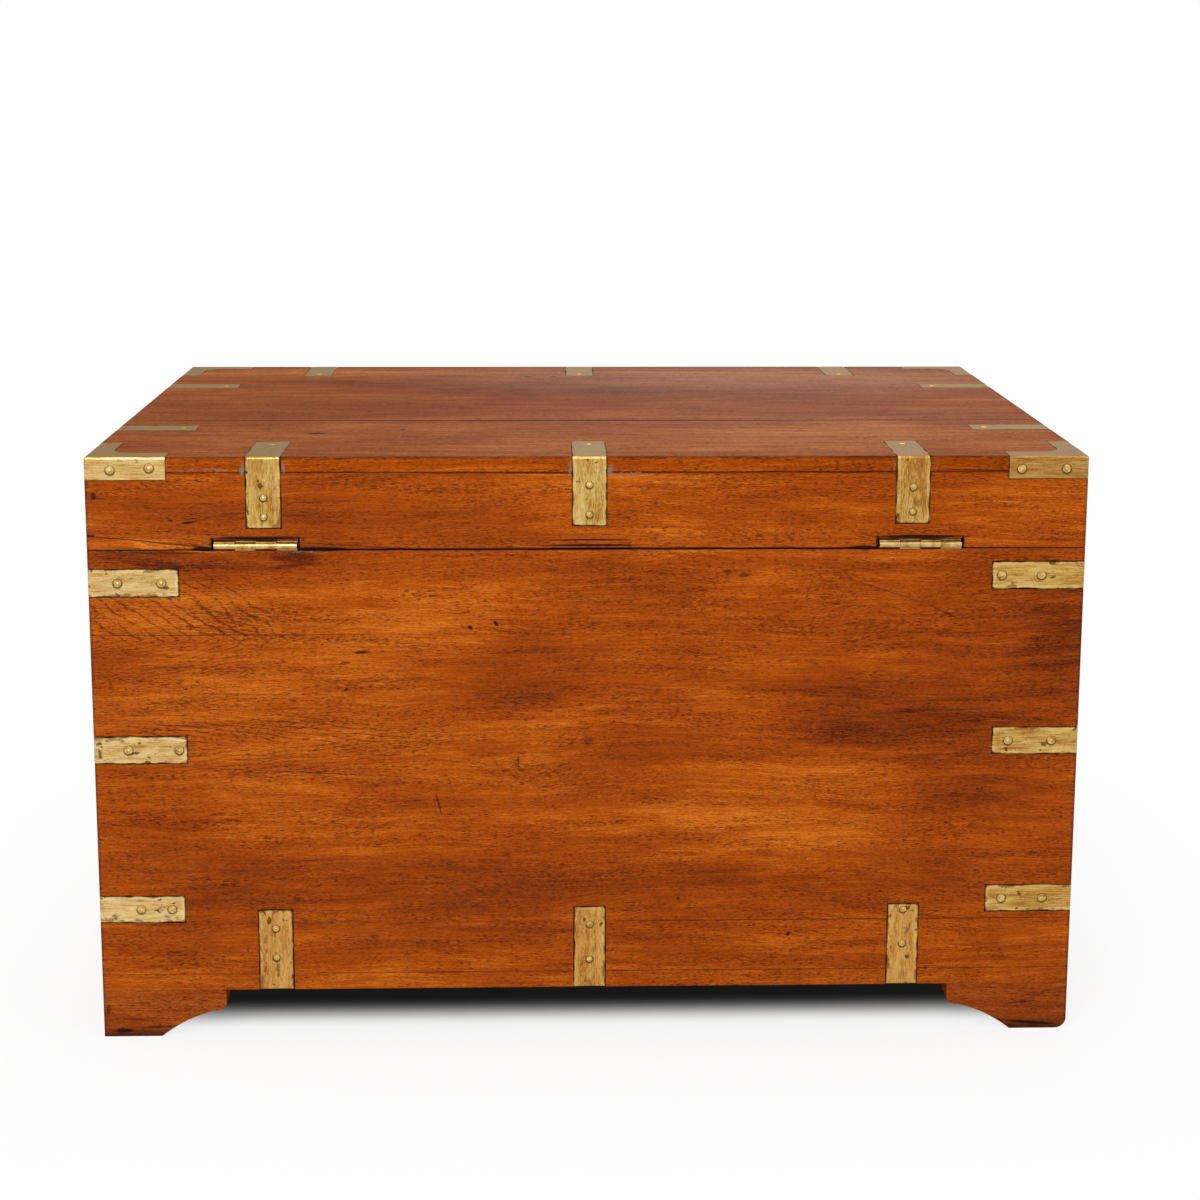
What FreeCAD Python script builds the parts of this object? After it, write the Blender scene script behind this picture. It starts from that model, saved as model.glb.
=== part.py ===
import FreeCAD, Part

import math
import os

# A brass-bound campaign chest: a boarded teak trunk with a lift-up lid, on bracket feet.
# All lengths are millimetres. The origin lies on the floor under the middle of the chest, +Z is
# up, the lock faces -Y and the hinges face +Y. Left is +X, as seen by someone behind the chest.

V = FreeCAD.Vector

# ---- The whole chest -----------------------------------------------------------------------
WIDTH = 920.0
DEPTH = 590.0
FOOT_HEIGHT = 46.0
CASE_HEIGHT = 427.0
LID_GAP = 0.8
LID_HEIGHT = 86.2
BOARD = 19.0
BOTTOM_BOARD = 16.0
LID_BOARD = 16.0
ARRIS = 1.6
JOINT_VEE = 0.45

# ---- Widths of the glued-up planks ---------------------------------------------------------
REAR_UPPER_PLANK = 80.0
REAR_LOWER_PLANK = 50.0
FRONT_UPPER_PLANK = 150.0
SIDE_UPPER_PLANK = 235.0
BOTTOM_REAR_PLANK = 300.0
LID_REAR_PLANK = 200.0

# ---- Half-blind dovetails: tails on the side boards ----------------------------------------
DOVETAIL_LAP = 5.0
DOVETAIL_SLOPE = 1.0 / 6.0
CASE_TAILS = 6
CASE_TAIL_WIDTH = 42.0
LID_TAILS = 2
LID_TAIL_WIDTH = 20.0

# ---- Bracket feet --------------------------------------------------------------------------
FOOT_LENGTH = 116.5
FOOT_FLAT = 55.0
FOOT_THICKNESS = 20.0
FOOT_COVE_RUN = 51.0
FOOT_COVE_RISE = 25.5
FOOT_COVE_BULGE = 3.5
FOOT_NOSE = 7.5
GLUE_BLOCK = 28.0
GLUE_POST_LIFT = 4.0
GLUE_RAIL_HEIGHT = 15.0
GLUE_RAIL_INSET = 14.0
LONG_GLUE_RAIL_OVERHANG = 9.0
GLUE_RAIL_SLOPE = 12.0
WORN_CORNER = 11.0
WORN_LENGTH = 34.0

# ---- Inlaid brass strip --------------------------------------------------------------------
STRIP = 1.6
STRIP_PROUD = 0.15
STRIP_BEND = 0.9
STRIP_SEAM = 0.6
REACH = 6.0

# Straps round the upright corners: heights below the case's rim, and the lengths of their legs.
CORNER_STRAP_WIDTH = 26.0
CORNER_STRAP_DROPS = (30.5, 190.0, 346.0)
RIGHT_STRAP_LIFT = 5.0
CORNER_STRAP_SIDE_LEG = 82.0
CORNER_STRAP_LEGS = {
    "rear_left": (83.0, 86.5, 80.0),
    "rear_right": (86.0, 81.0, 82.5),
    "front_left": (84.0, 81.5, 85.0),
    "front_right": (82.0, 85.0, 83.0),
}
CORNER_STRAP_PINS = {
    "rear_left": ((27.0, 67.0), (32.0, 79.0), (39.0, 68.0)),
    "rear_right": ((40.0, 77.0), (25.0, 66.0), (28.0, 67.0)),
    "front_left": ((30.0, 70.0), (28.0, 72.0), (33.0, 75.0)),
    "front_right": ((29.0, 71.0), (34.0, 74.0), (27.0, 69.0)),
}
CORNER_STRAP_SIDE_PINS = (28.0, 68.0)

# Straps over the lid's edges and under the case's edges, cut and set by eye. Each row is:
# place along the side (1, 0 or -1 times the spacing), shift from that place, width, length of
# the leg on the upright face, and the pins' distances from the chest's edge on that leg.
LONG_STRAP_INSET = 162.0
SHORT_STRAP_INSET = 156.5
LID_STRAPS = {
    "rear": (
        (1, 0.0, 32.0, 66.5, (37.8, 55.7)),
        (0, 0.0, 31.5, 64.6, (26.4, 54.1)),
        (-1, 0.0, 31.0, 63.1, (29.1, 51.9)),
    ),
    "front": (
        (1, 5.0, 31.0, 65.0, (27.5, 54.0)),
        (0, 0.0, 31.5, 66.0, (29.0, 55.0)),
        (-1, -5.0, 32.0, 64.0, (28.0, 52.5)),
    ),
    "left": ((1, 0.0, 27.5, 64.0, (28.0, 52.0)), (-1, 0.0, 28.0, 65.5, (30.0, 54.0))),
    "right": ((1, 0.0, 28.0, 65.0, (29.0, 53.0)), (-1, 0.0, 27.5, 63.5, (27.0, 52.0))),
}
BOTTOM_STRAPS = {
    "rear": (
        (1, -2.7, 32.3, 79.5, (32.0, 61.0)),
        (0, -1.2, 29.9, 80.5, (28.0, 63.0)),
        (-1, -1.4, 29.5, 81.0, (41.3, 75.5)),
    ),
    "front": (
        (1, 0.0, 30.5, 80.0, (31.0, 64.0)),
        (0, 0.0, 31.0, 79.0, (30.0, 62.0)),
        (-1, 0.0, 30.0, 80.5, (33.0, 65.0)),
    ),
    "left": ((1, 0.0, 28.0, 79.0, (30.0, 62.0)), (-1, 0.0, 27.5, 80.0, (32.0, 64.0))),
    "right": ((1, 0.0, 27.5, 80.0, (31.0, 63.0)), (-1, 0.0, 28.0, 79.0, (29.0, 61.0))),
}
LID_STRAP_TOP_LEG = 78.0
LID_STRAP_TOP_PIN = 64.0
BOTTOM_STRAP_UNDER_LEG = 60.0
BOTTOM_STRAP_UNDER_PIN = 44.0

# Three-way brackets on the lid's corners. A pin's place is its distance from the corner and
# from the lid's top.
BRACKET_LEG = 73.5
BRACKET_DROP = 21.0
BRACKET_TOP_WIDTH = 21.0
BRACKET_COVE = 18.0
BRACKET_SIDE_PINS = ((22.0, 12.0), (60.0, 11.5))
BRACKET_PINS = {
    "rear_left": ((23.5, 12.0), (59.0, 10.0)),
    "rear_right": ((20.5, 12.0), (62.0, 12.0)),
    "front_left": ((22.0, 11.5), (61.0, 12.0)),
    "front_right": ((24.0, 12.0), (60.0, 11.0)),
}

# ---- Domed brass pins and countersunk brass screws -----------------------------------------
CORNER_PIN_HEAD = 3.8
STRAP_PIN_HEAD = 3.0
SMALL_PIN_HEAD = 1.6
PIN_SHANK = 1.3
PIN_LENGTH = 13.0
SMALL_PIN_LENGTH = 5.0
PIN_SINK = 1.35
PIN_DOME = 0.45
PIN_SEAM = 0.25
PIN_POINT = 2.0
SCREW_HEAD = 3.5
SCREW_SHANK = 1.7
SCREW_LENGTH = 14.0
SCREW_SLOT = 0.7
HANDLE_SCREW_HEAD = 4.2
HANDLE_SCREW_LENGTH = 16.0

# ---- Butt hinges, let into the lid's rim ---------------------------------------------------
HINGE_INSET = 154.0
HINGE_LENGTH = 76.0
HINGE_KNUCKLES = 4
HINGE_BARREL = 3.05
HINGE_PIN = 1.5
HINGE_PIN_CLEARANCE = 0.05
HINGE_KNUCKLE_EASE = 0.15
HINGE_RISE = 4.0
HINGE_LEAF = 1.8
HINGE_LEAF_WIDTH = 17.0
HINGE_NOTCH_HEIGHT = 10.0
HINGE_NOTCH_EASE = 1.4
HINGE_LEAF_EASE = 0.4
HINGE_SCREW_SPACING = 27.0
HINGE_SCREW_INSET = 10.0
LID_OPEN_ANGLE = 100.0

# A third mortise at the middle of the lid's rear rim, filled with a slip of teak.
PATCH_LENGTH = 75.0
PATCH_OFFSET = -2.0
PATCH_DEPTH = 17.0
PATCH_TOP = 8.0
PATCH_THICKNESS = 6.2

# ---- Box lock in the front board, with a link plate on the lid -----------------------------
LOCK_WIDTH = 72.0
LOCK_HEIGHT = 54.0
LOCK_DEPTH = 13.0
LOCK_PLATE = 2.0
LOCK_WALL = 1.6
LOCK_FLANGE = 9.0
LOCK_KEY_DROP = 38.0
LOCK_DRILL_PIN = 2.2
LOCK_DRILL_PIN_LENGTH = 9.0
LOCK_SCREW_HEAD = 2.8
LOCK_SCREW_SHANK = 1.4
LOCK_SCREW_LENGTH = 12.0
BOLT_TRAVEL = 8.0
BOLT_BAR_HEIGHT = 9.0
BOLT_BAR_DROP = 27.0
BOLT_SIDE_PLAY = 0.2
BOLT_BAR_THICKNESS = 6.8
BOLT_NOSE = 4.0
BOLT_NOSE_DROP = 5.6
BOLT_NOSE_LENGTH = 8.0
BOLT_TALON = 8.0
BOLT_GUIDE_WALL = 2.0
LINK_SPACING = 18.0
LINK_THICKNESS = 3.0
LINK_WIDTH = 8.0
LINK_LENGTH = 13.0
LINK_EYE_SILL = 2.0
LINK_EYE_EASE = 0.4
LINK_GAP = 1.0
LINK_SLOT_EASE = 0.8
LINK_PLATE = 2.0
ESCUTCHEON_WIDTH = 28.0
ESCUTCHEON_HEIGHT = 50.0
KEYHOLE = 2.8
KEYHOLE_SLOT = 2.6
KEYHOLE_DROP = 9.0

# ---- Drop handles on the two ends ----------------------------------------------------------
HANDLE_HEIGHT = 316.0
HANDLE_PLATE_LENGTH = 140.0
HANDLE_PLATE_HEIGHT = 50.0
HANDLE_PLATE = 3.0
HANDLE_PLATE_CORNER = 7.0
HANDLE_PIVOT_STANDOFF = 9.5
HANDLE_ROD = 4.2
HANDLE_ROD_CLEARANCE = 0.07
HANDLE_LUG = 8.0
HANDLE_LUG_WIDTH = 14.0
HANDLE_LUG_SPACING = 48.0
HANDLE_ARM_SPACING = 62.0
HANDLE_DROP = 52.0
HANDLE_SHOULDER = 7.0
HANDLE_CORNER = 17.0
HANDLE_STOP_GAP = 0.05
HANDLE_HEEL_EASE = 0.3
HANDLE_HEEL = 3.4
HANDLE_SCREW_SPACING_Y = 61.0
HANDLE_SCREW_SPACING_Z = 15.0

# ---- Slotted lid stay on the left end ------------------------------------------------------
STAY_RADIUS = 200.0
STAY_ANGLE = 10.0
STAY_BAR_WIDTH = 14.0
STAY_BAR = 3.0
STAY_STANDOFF = 6.0
STAY_STUD = 3.0
STAY_STUD_HEAD = 5.5
STAY_HEAD = 2.0
STAY_PLAY = 0.3
STAY_HOLE_CLEARANCE = 0.06
STAY_END = 6.0
STAY_PLATE = 2.0
STAY_PLATE_SIDE = 32.0
STAY_SCREW_OFFSET = 11.0

# ---- Heights and faces that follow from the above ------------------------------------------
CASE_RIM = FOOT_HEIGHT + CASE_HEIGHT
WALL_FOOT = FOOT_HEIGHT + BOTTOM_BOARD
LID_FOOT = CASE_RIM + LID_GAP
LID_TOP = LID_FOOT + LID_HEIGHT
LID_BOARD_FOOT = LID_TOP - LID_BOARD
HALF_W = WIDTH / 2
HALF_D = DEPTH / 2
INNER_W = HALF_W - BOARD
INNER_D = HALF_D - BOARD
STRIP_INSET = STRIP - STRIP_PROUD
HINGE_AXIS_Z = CASE_RIM + HINGE_RISE
HINGE_SPACING = HALF_W - HINGE_INSET
LONG_STRAP_SPACING = HALF_W - LONG_STRAP_INSET
SHORT_STRAP_SPACING = HALF_D - SHORT_STRAP_INSET
FACES = {"rear": (0, 1), "front": (0, -1), "left": (1, 0), "right": (-1, 0)}
CORNERS = {"rear_left": (1, 1), "rear_right": (-1, 1), "front_left": (1, -1), "front_right": (-1, -1)}
ENDS = {"left": 1, "right": -1}


# ---- Shape helpers -------------------------------------------------------------------------
def box(x, y, z):
    """A block between the pairs of limits x, y and z, given in either order."""
    low = V(min(x), min(y), min(z))
    return Part.makeBox(abs(x[1] - x[0]), abs(y[1] - y[0]), abs(z[1] - z[0]), low)


def fuse(shapes):
    """One clean solid from several that overlap or touch."""
    return shapes[0].fuse(shapes[1:]).removeSplitter()


def prism(points, along):
    """A flat outline of straight edges, pushed out along a vector."""
    return Part.Face(Part.makePolygon(points + points[:1])).extrude(along)


def outline_prism(edges, along):
    """A flat outline of mixed edges, pushed out along a vector."""
    return Part.Face(Part.Wire(edges)).extrude(along)


def line(start, end):
    return Part.makeLine(start, end)


def arc(start, middle, end):
    return Part.Arc(start, middle, end).toShape()


def turned(profile, at, outward):
    """A solid of revolution from (radius, height) points, its axis through at, along outward."""
    points = [V(r, 0, h) for r, h in profile]
    solid = Part.Face(Part.makePolygon(points + points[:1])).revolve(V(0, 0, 0), V(0, 0, 1), 360)
    return seated(solid, at, outward)


def seated(solid, at, outward):
    """Turns a solid made on +Z to face outward, and moves it to its place."""
    solid.Placement = FreeCAD.Placement(at, FreeCAD.Rotation(V(0, 0, 1), outward))
    return solid


def carve(blank, cutters):
    """Takes from a board every cutter that reaches it."""
    near = [c for c in cutters if c.BoundBox.intersect(blank.BoundBox)]
    return blank.cut(near) if near else blank


def upright_edges(shape):
    """The edges of a block that run up it."""
    return [e for e in shape.Edges if abs(e.tangentAt(e.FirstParameter).z) > 0.99]


# ---- Pins and screws -----------------------------------------------------------------------
def pin_blank(at, outward, head, length=PIN_LENGTH):
    """The straight-sided form of a pin, which its holes are cut with."""
    profile = [
        (0, 0),
        (head, 0),
        (PIN_SHANK, -PIN_SINK),
        (PIN_SHANK, PIN_POINT - length),
        (0, -length),
    ]
    return turned(profile, at, outward)


def pin(at, outward, head, length=PIN_LENGTH):
    """A brass pin with a sunk, slightly domed head."""
    dome_radius = (head * head + PIN_DOME * PIN_DOME) / (2 * PIN_DOME)
    bulge = math.sqrt(dome_radius**2 - (head / 2) ** 2) - dome_radius + PIN_DOME
    edges = [
        line(V(0, 0, -length), V(PIN_SHANK, 0, PIN_POINT - length)),
        line(V(PIN_SHANK, 0, PIN_POINT - length), V(PIN_SHANK, 0, -PIN_SINK)),
        line(V(PIN_SHANK, 0, -PIN_SINK), V(head, 0, 0)),
        arc(V(head, 0, 0), V(head / 2, 0, bulge), V(0, 0, PIN_DOME)),
        line(V(0, 0, PIN_DOME), V(0, 0, -length)),
    ]
    solid = Part.Face(Part.Wire(edges)).revolve(V(0, 0, 0), V(0, 0, 1), 360)
    return seated(solid, at, outward)


def pin_seat(at, outward, head, length=PIN_LENGTH):
    """The hole in the brass: the head's cone with a fine ring of room round it."""
    rim = head + PIN_SEAM
    profile = [(0, REACH), (rim, REACH), (rim, 0), (PIN_SHANK + PIN_SEAM, -PIN_SINK)]
    profile += [(PIN_SHANK + PIN_SEAM, -length), (0, -length)]
    return turned(profile, at, outward)


def screw_blank(at, outward, head, shank, length):
    """A countersunk screw before its slot is cut; holes are cut with it too."""
    profile = [
        (0, 0),
        (head, 0),
        (shank, shank - head),
        (shank, PIN_POINT - length),
        (0, -length),
    ]
    return turned(profile, at, outward)


def screw(at, outward, head, shank, length):
    """A countersunk wood screw with a straight slot."""
    slot = seated(box((-head, head), (-SCREW_SLOT / 2, SCREW_SLOT / 2), (-SCREW_SLOT, REACH)), at, outward)
    return screw_blank(at, outward, head, shank, length).cut(slot)


# ---- The brass skin: a strap is the stretch of it that lies inside a block -------------------
def rounded_block(low, high, grow, radius):
    block = box((low.x - grow, high.x + grow), (low.y - grow, high.y + grow), (low.z - grow, high.z + grow))
    return block.makeFillet(radius, block.Edges)


def core(low, high):
    """What the brass is bent round: the block less the depth that the strip is let in."""
    return rounded_block(low, high, -STRIP_INSET, STRIP_BEND)


def skin(low, high):
    """A strip's thickness all over the block, with every edge bent."""
    return rounded_block(low, high, STRIP_PROUD, STRIP_BEND + STRIP).cut(core(low, high))


CASE_BLOCK = (V(-HALF_W, -HALF_D, FOOT_HEIGHT), V(HALF_W, HALF_D, CASE_RIM))
LID_BLOCK = (V(-HALF_W, -HALF_D, LID_FOOT), V(HALF_W, HALF_D, LID_TOP))


def inward(sign, half, leg):
    """From a leg's end to just outside the face that stands at sign * half."""
    return (sign * (half - leg), sign * (half + REACH))


def corner_strap_block(corner, row, grow=0.0):
    """The block that one strap round an upright corner fills, grown for its recess."""
    sx, sy = CORNERS[corner]
    leg = CORNER_STRAP_LEGS[corner][row] + grow
    height = corner_strap_height(corner, row)
    half = CORNER_STRAP_WIDTH / 2 + grow
    x = inward(sx, HALF_W, leg)
    y = inward(sy, HALF_D, CORNER_STRAP_SIDE_LEG + grow)
    return box(x, y, (height - half, height + half))


def corner_strap_height(corner, row):
    lift = RIGHT_STRAP_LIFT if CORNERS[corner][0] < 0 else 0.0
    return CASE_RIM - CORNER_STRAP_DROPS[row] + lift


def edge_straps(table):
    """Every strap of a table as (sx, sy, place along the side, width, face leg, pins)."""
    straps = []
    for face, rows in table.items():
        sx, sy = FACES[face]
        spacing = LONG_STRAP_SPACING if sx == 0 else SHORT_STRAP_SPACING
        straps += [(sx, sy, step * spacing + shift, w, leg, pins) for step, shift, w, leg, pins in rows]
    return straps


def edge_strap_block(edge_strap, flat_leg, z, grow=0.0):
    """The block that a strap over the lid's edge, or under the case's edge, fills."""
    sx, sy, along, width, _, _ = edge_strap
    across = (along - width / 2 - grow, along + width / 2 + grow)
    if sx == 0:
        return box(across, inward(sy, HALF_D, flat_leg + grow), z)
    return box(inward(sx, HALF_W, flat_leg + grow), across, z)


def lid_strap_block(edge_strap, grow=0.0):
    z = (LID_TOP - edge_strap[4] - grow, LID_TOP + REACH)
    return edge_strap_block(edge_strap, LID_STRAP_TOP_LEG, z, grow)


def bottom_strap_block(edge_strap, grow=0.0):
    z = (FOOT_HEIGHT - REACH, FOOT_HEIGHT + edge_strap[4] + grow)
    return edge_strap_block(edge_strap, BOTTOM_STRAP_UNDER_LEG, z, grow)


def bracket_block(corner, grow=0.0):
    """The space of a three-way bracket: a coved angle on the lid's top and a flange down each face."""
    sx, sy = CORNERS[corner]
    leg = BRACKET_LEG + grow
    wide = BRACKET_TOP_WIDTH + grow
    cove = BRACKET_COVE - grow
    top = (LID_TOP - STRIP - grow, LID_TOP + REACH)
    drop = (LID_TOP - BRACKET_DROP - grow, LID_TOP + REACH)
    far = wide + cove
    hollow = Part.makeCylinder(cove, REACH * 3, V(sx * (HALF_W - far), sy * (HALF_D - far), top[0] - REACH))
    fillet = box((sx * (HALF_W - wide), sx * (HALF_W - far)), (sy * (HALF_D - wide), sy * (HALF_D - far)), top)
    return fuse([
        box(inward(sx, HALF_W, leg), inward(sy, HALF_D, wide), top),
        box(inward(sx, HALF_W, wide), inward(sy, HALF_D, leg), top),
        fillet.cut(hollow),
        box(inward(sx, HALF_W, leg), inward(sy, HALF_D, STRIP), drop),
        box(inward(sx, HALF_W, STRIP), inward(sy, HALF_D, leg), drop),
    ])


# ---- Where the pins stand: (place, outward direction, head radius, and a length if it is short) --
def on_face(sx, sy, along, height):
    """A point on the brass of an upright face."""
    if sx == 0:
        return V(along, sy * (HALF_D + STRIP_PROUD), height)
    return V(sx * (HALF_W + STRIP_PROUD), along, height)


def on_flat(sx, sy, along, inset, height):
    """A point on the brass of the lid's top or the case's underside, inset from an edge."""
    if sx == 0:
        return V(along, sy * (HALF_D - inset), height)
    return V(sx * (HALF_W - inset), along, height)


def corner_strap_pins():
    pins = []
    for corner, (sx, sy) in CORNERS.items():
        for row, insets in enumerate(CORNER_STRAP_PINS[corner]):
            z = corner_strap_height(corner, row)
            pins += [(on_face(0, sy, sx * (HALF_W - i), z), V(0, sy, 0), CORNER_PIN_HEAD) for i in insets]
            for i in CORNER_STRAP_SIDE_PINS:
                pins.append((on_face(sx, 0, sy * (HALF_D - i), z), V(sx, 0, 0), CORNER_PIN_HEAD))
    return pins


def bottom_strap_pins():
    pins = []
    for sx, sy, along, _, _, rises in edge_straps(BOTTOM_STRAPS):
        for rise in rises:
            pins.append((on_face(sx, sy, along, FOOT_HEIGHT + rise), V(sx, sy, 0), STRAP_PIN_HEAD))
        under = on_flat(sx, sy, along, BOTTOM_STRAP_UNDER_PIN, FOOT_HEIGHT - STRIP_PROUD)
        pins.append((under, V(0, 0, -1), STRAP_PIN_HEAD))
    return pins


def escutcheon_pins():
    reach = ESCUTCHEON_HEIGHT / 2 - SMALL_PIN_HEAD * 2.5
    z = CASE_RIM - LOCK_KEY_DROP
    y = -HALF_D - STRIP_PROUD
    return [(V(0, y, z + s * reach), V(0, -1, 0), SMALL_PIN_HEAD, SMALL_PIN_LENGTH) for s in (1, -1)]


def lid_strap_pins():
    pins = []
    for sx, sy, along, _, _, drops in edge_straps(LID_STRAPS):
        for drop in drops:
            pins.append((on_face(sx, sy, along, LID_TOP - drop), V(sx, sy, 0), STRAP_PIN_HEAD))
        top = on_flat(sx, sy, along, LID_STRAP_TOP_PIN, LID_TOP + STRIP_PROUD)
        pins.append((top, V(0, 0, 1), STRAP_PIN_HEAD))
    return pins


def bracket_pins():
    pins = []
    for corner, (sx, sy) in CORNERS.items():
        for inset, drop in BRACKET_PINS[corner]:
            at = on_face(0, sy, sx * (HALF_W - inset), LID_TOP - drop)
            pins.append((at, V(0, sy, 0), CORNER_PIN_HEAD))
        for inset, drop in BRACKET_SIDE_PINS:
            at = on_face(sx, 0, sy * (HALF_D - inset), LID_TOP - drop)
            pins.append((at, V(sx, 0, 0), CORNER_PIN_HEAD))
    return pins


CASE_PINS = corner_strap_pins() + bottom_strap_pins() + escutcheon_pins()
LID_PINS = lid_strap_pins() + bracket_pins()


def strap(block, whole_skin, pins):
    """One strap or bracket, with its pin holes."""
    return carve(whole_skin.common(block), [pin_seat(*p) for p in pins])


# ---- Boards --------------------------------------------------------------------------------
def wood_envelope(low_z, high_z, round_top=False):
    """The chest's outer form between two heights, with its arrises rubbed round."""
    block = box((-HALF_W, HALF_W), (-HALF_D, HALF_D), (low_z, high_z))
    edges = upright_edges(block)
    if round_top:
        edges += [e for e in block.Edges if e.BoundBox.ZMin > high_z - ARRIS]
    return block.makeFillet(ARRIS, edges)


def tails(z_low, z_high, count, width, sx):
    """The dovetails of one end board, at both of its corners."""
    pitch = (z_high - z_low) / count
    flare = (BOARD - DOVETAIL_LAP) * DOVETAIL_SLOPE
    solids = []
    for sy in (1, -1):
        root = sy * INNER_D
        tip = sy * (HALF_D - DOVETAIL_LAP)
        for i in range(count):
            middle = z_low + (i + 0.5) * pitch
            points = [
                V(sx * INNER_W, root, middle - width / 2),
                V(sx * INNER_W, tip, middle - width / 2 - flare),
                V(sx * INNER_W, tip, middle + width / 2 + flare),
                V(sx * INNER_W, root, middle + width / 2),
            ]
            solids.append(prism(points, V(sx * BOARD, 0, 0)))
    return solids


def dovetailed_walls(z_low, z_high, count, width):
    """Four boards joined at the corners: {"rear", "front", "left", "right"}."""
    end_tails = {sx: tails(z_low, z_high, count, width, sx) for sx in (1, -1)}
    walls = {}
    for name, sy in (("rear", 1), ("front", -1)):
        blank = box((-HALF_W, HALF_W), (sy * INNER_D, sy * HALF_D), (z_low, z_high))
        walls[name] = blank.cut(end_tails[1] + end_tails[-1])
    for name, sx in ENDS.items():
        blank = box((sx * INNER_W, sx * HALF_W), (-INNER_D, INNER_D), (z_low, z_high))
        walls[name] = fuse([blank] + end_tails[sx])
    return walls


def slab(z_low, z_high):
    """Everything between two heights."""
    return box((-WIDTH, WIDTH), (-DEPTH, DEPTH), (z_low, z_high))


def vee(start, end):
    """A fine groove along a joint line: a square bar set on edge."""
    along = end - start
    first = V(0, 0, JOINT_VEE)
    if abs(along.x) < 1:
        second = V(JOINT_VEE, 0, 0)
    else:
        second = V(0, JOINT_VEE, 0)
    return prism([start + first, start + second, start - first, start - second], along)


def face_vee(name, z):
    """The groove of a level joint across one outer face."""
    if name in ("rear", "front"):
        y = HALF_D if name == "rear" else -HALF_D
        return vee(V(-WIDTH, y, z), V(WIDTH, y, z))
    x = ENDS[name] * HALF_W
    return vee(V(x, -DEPTH, z), V(x, DEPTH, z))


def strap_recesses(blocks, low, high):
    """What the brass takes out of the wood."""
    solid_core = core(low, high)
    return [b.cut(solid_core) for b in blocks]


def case_strap_recesses():
    blocks = [corner_strap_block(c, row, STRIP_SEAM) for c in CORNERS for row in range(len(CORNER_STRAP_DROPS))]
    blocks += [bottom_strap_block(s, STRIP_SEAM) for s in edge_straps(BOTTOM_STRAPS)]
    return strap_recesses(blocks, *CASE_BLOCK)


def lid_strap_recesses():
    blocks = [lid_strap_block(s, STRIP_SEAM) for s in edge_straps(LID_STRAPS)]
    blocks += [bracket_block(c, STRIP_SEAM) for c in CORNERS]
    return strap_recesses(blocks, *LID_BLOCK)


def case_planks(cutters):
    """The case's upright planks, from each wall's edge-glued strips."""
    walls = dovetailed_walls(WALL_FOOT, CASE_RIM, CASE_TAILS, CASE_TAIL_WIDTH)
    splits = {
        "rear": [("lower", WALL_FOOT + REAR_LOWER_PLANK), ("middle", CASE_RIM - REAR_UPPER_PLANK)],
        "front": [("lower", CASE_RIM - FRONT_UPPER_PLANK)],
        "left": [("lower", CASE_RIM - SIDE_UPPER_PLANK)],
        "right": [("lower", CASE_RIM - SIDE_UPPER_PLANK)],
    }
    envelope = wood_envelope(WALL_FOOT, CASE_RIM)
    planks = {}
    for wall, cuts in splits.items():
        grooves = [face_vee(wall, z) for _, z in cuts] + [face_vee(wall, WALL_FOOT)]
        body = carve(walls[wall].common(envelope), cutters + grooves)
        low = WALL_FOOT
        for plank, high in cuts + [("upper", CASE_RIM)]:
            planks[f"{wall}_plank_{plank}"] = body.common(slab(low, high))
            low = high
    return planks


def bottom_boards(cutters):
    """Two boards under the walls, flush with the faces."""
    joint = HALF_D - BOTTOM_REAR_PLANK
    envelope = wood_envelope(FOOT_HEIGHT, WALL_FOOT)
    grooves = [face_vee(name, WALL_FOOT) for name in ("rear", "front", "left", "right")]
    boards = {}
    for name, y in (("rear", (joint, HALF_D)), ("front", (-HALF_D, joint))):
        blank = box((-HALF_W, HALF_W), y, (FOOT_HEIGHT, WALL_FOOT)).common(envelope)
        boards[f"bottom_board_{name}"] = carve(blank, cutters + grooves)
    return boards


def lid_boards(cutters):
    """The lid's rim and the two boards of its top."""
    joint = HALF_D - LID_REAR_PLANK
    envelope = wood_envelope(LID_FOOT, LID_TOP, round_top=True)
    grooves = [face_vee(name, LID_BOARD_FOOT) for name in ("rear", "front", "left", "right")]
    grooves.append(vee(V(-WIDTH, joint, LID_TOP), V(WIDTH, joint, LID_TOP)))
    cutters = cutters + grooves
    walls = dovetailed_walls(LID_FOOT, LID_BOARD_FOOT, LID_TAILS, LID_TAIL_WIDTH)
    boards = {f"lid_rim_{name}": carve(wall.common(envelope), cutters) for name, wall in walls.items()}
    for name, y in (("rear", (joint, HALF_D)), ("front", (-HALF_D, joint))):
        blank = box((-HALF_W, HALF_W), y, (LID_BOARD_FOOT, LID_TOP)).common(envelope)
        boards[f"lid_top_board_{name}"] = carve(blank, cutters)
    return boards


# ---- Bracket feet --------------------------------------------------------------------------
def foot_outline(place):
    """The bracket's face: a flat toe, a long cove and a small rounded nose at the inner end.
    place maps (distance from the corner, height) to a point."""
    cove_end = FOOT_FLAT + FOOT_COVE_RUN
    nose_end = FOOT_COVE_RISE + FOOT_NOSE
    middle = (FOOT_FLAT + FOOT_COVE_RUN / 2, FOOT_COVE_RISE / 2 + FOOT_COVE_BULGE)
    nose_middle = (cove_end + (FOOT_LENGTH - cove_end) * 0.75, FOOT_COVE_RISE + FOOT_NOSE * 0.25)
    return [
        line(place(0, 0), place(FOOT_FLAT, 0)),
        arc(place(FOOT_FLAT, 0), place(*middle), place(cove_end, FOOT_COVE_RISE)),
        arc(place(cove_end, FOOT_COVE_RISE), place(*nose_middle), place(FOOT_LENGTH, nose_end)),
        line(place(FOOT_LENGTH, nose_end), place(FOOT_LENGTH, FOOT_HEIGHT)),
        line(place(FOOT_LENGTH, FOOT_HEIGHT), place(0, FOOT_HEIGHT)),
        line(place(0, FOOT_HEIGHT), place(0, 0)),
    ]


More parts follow.
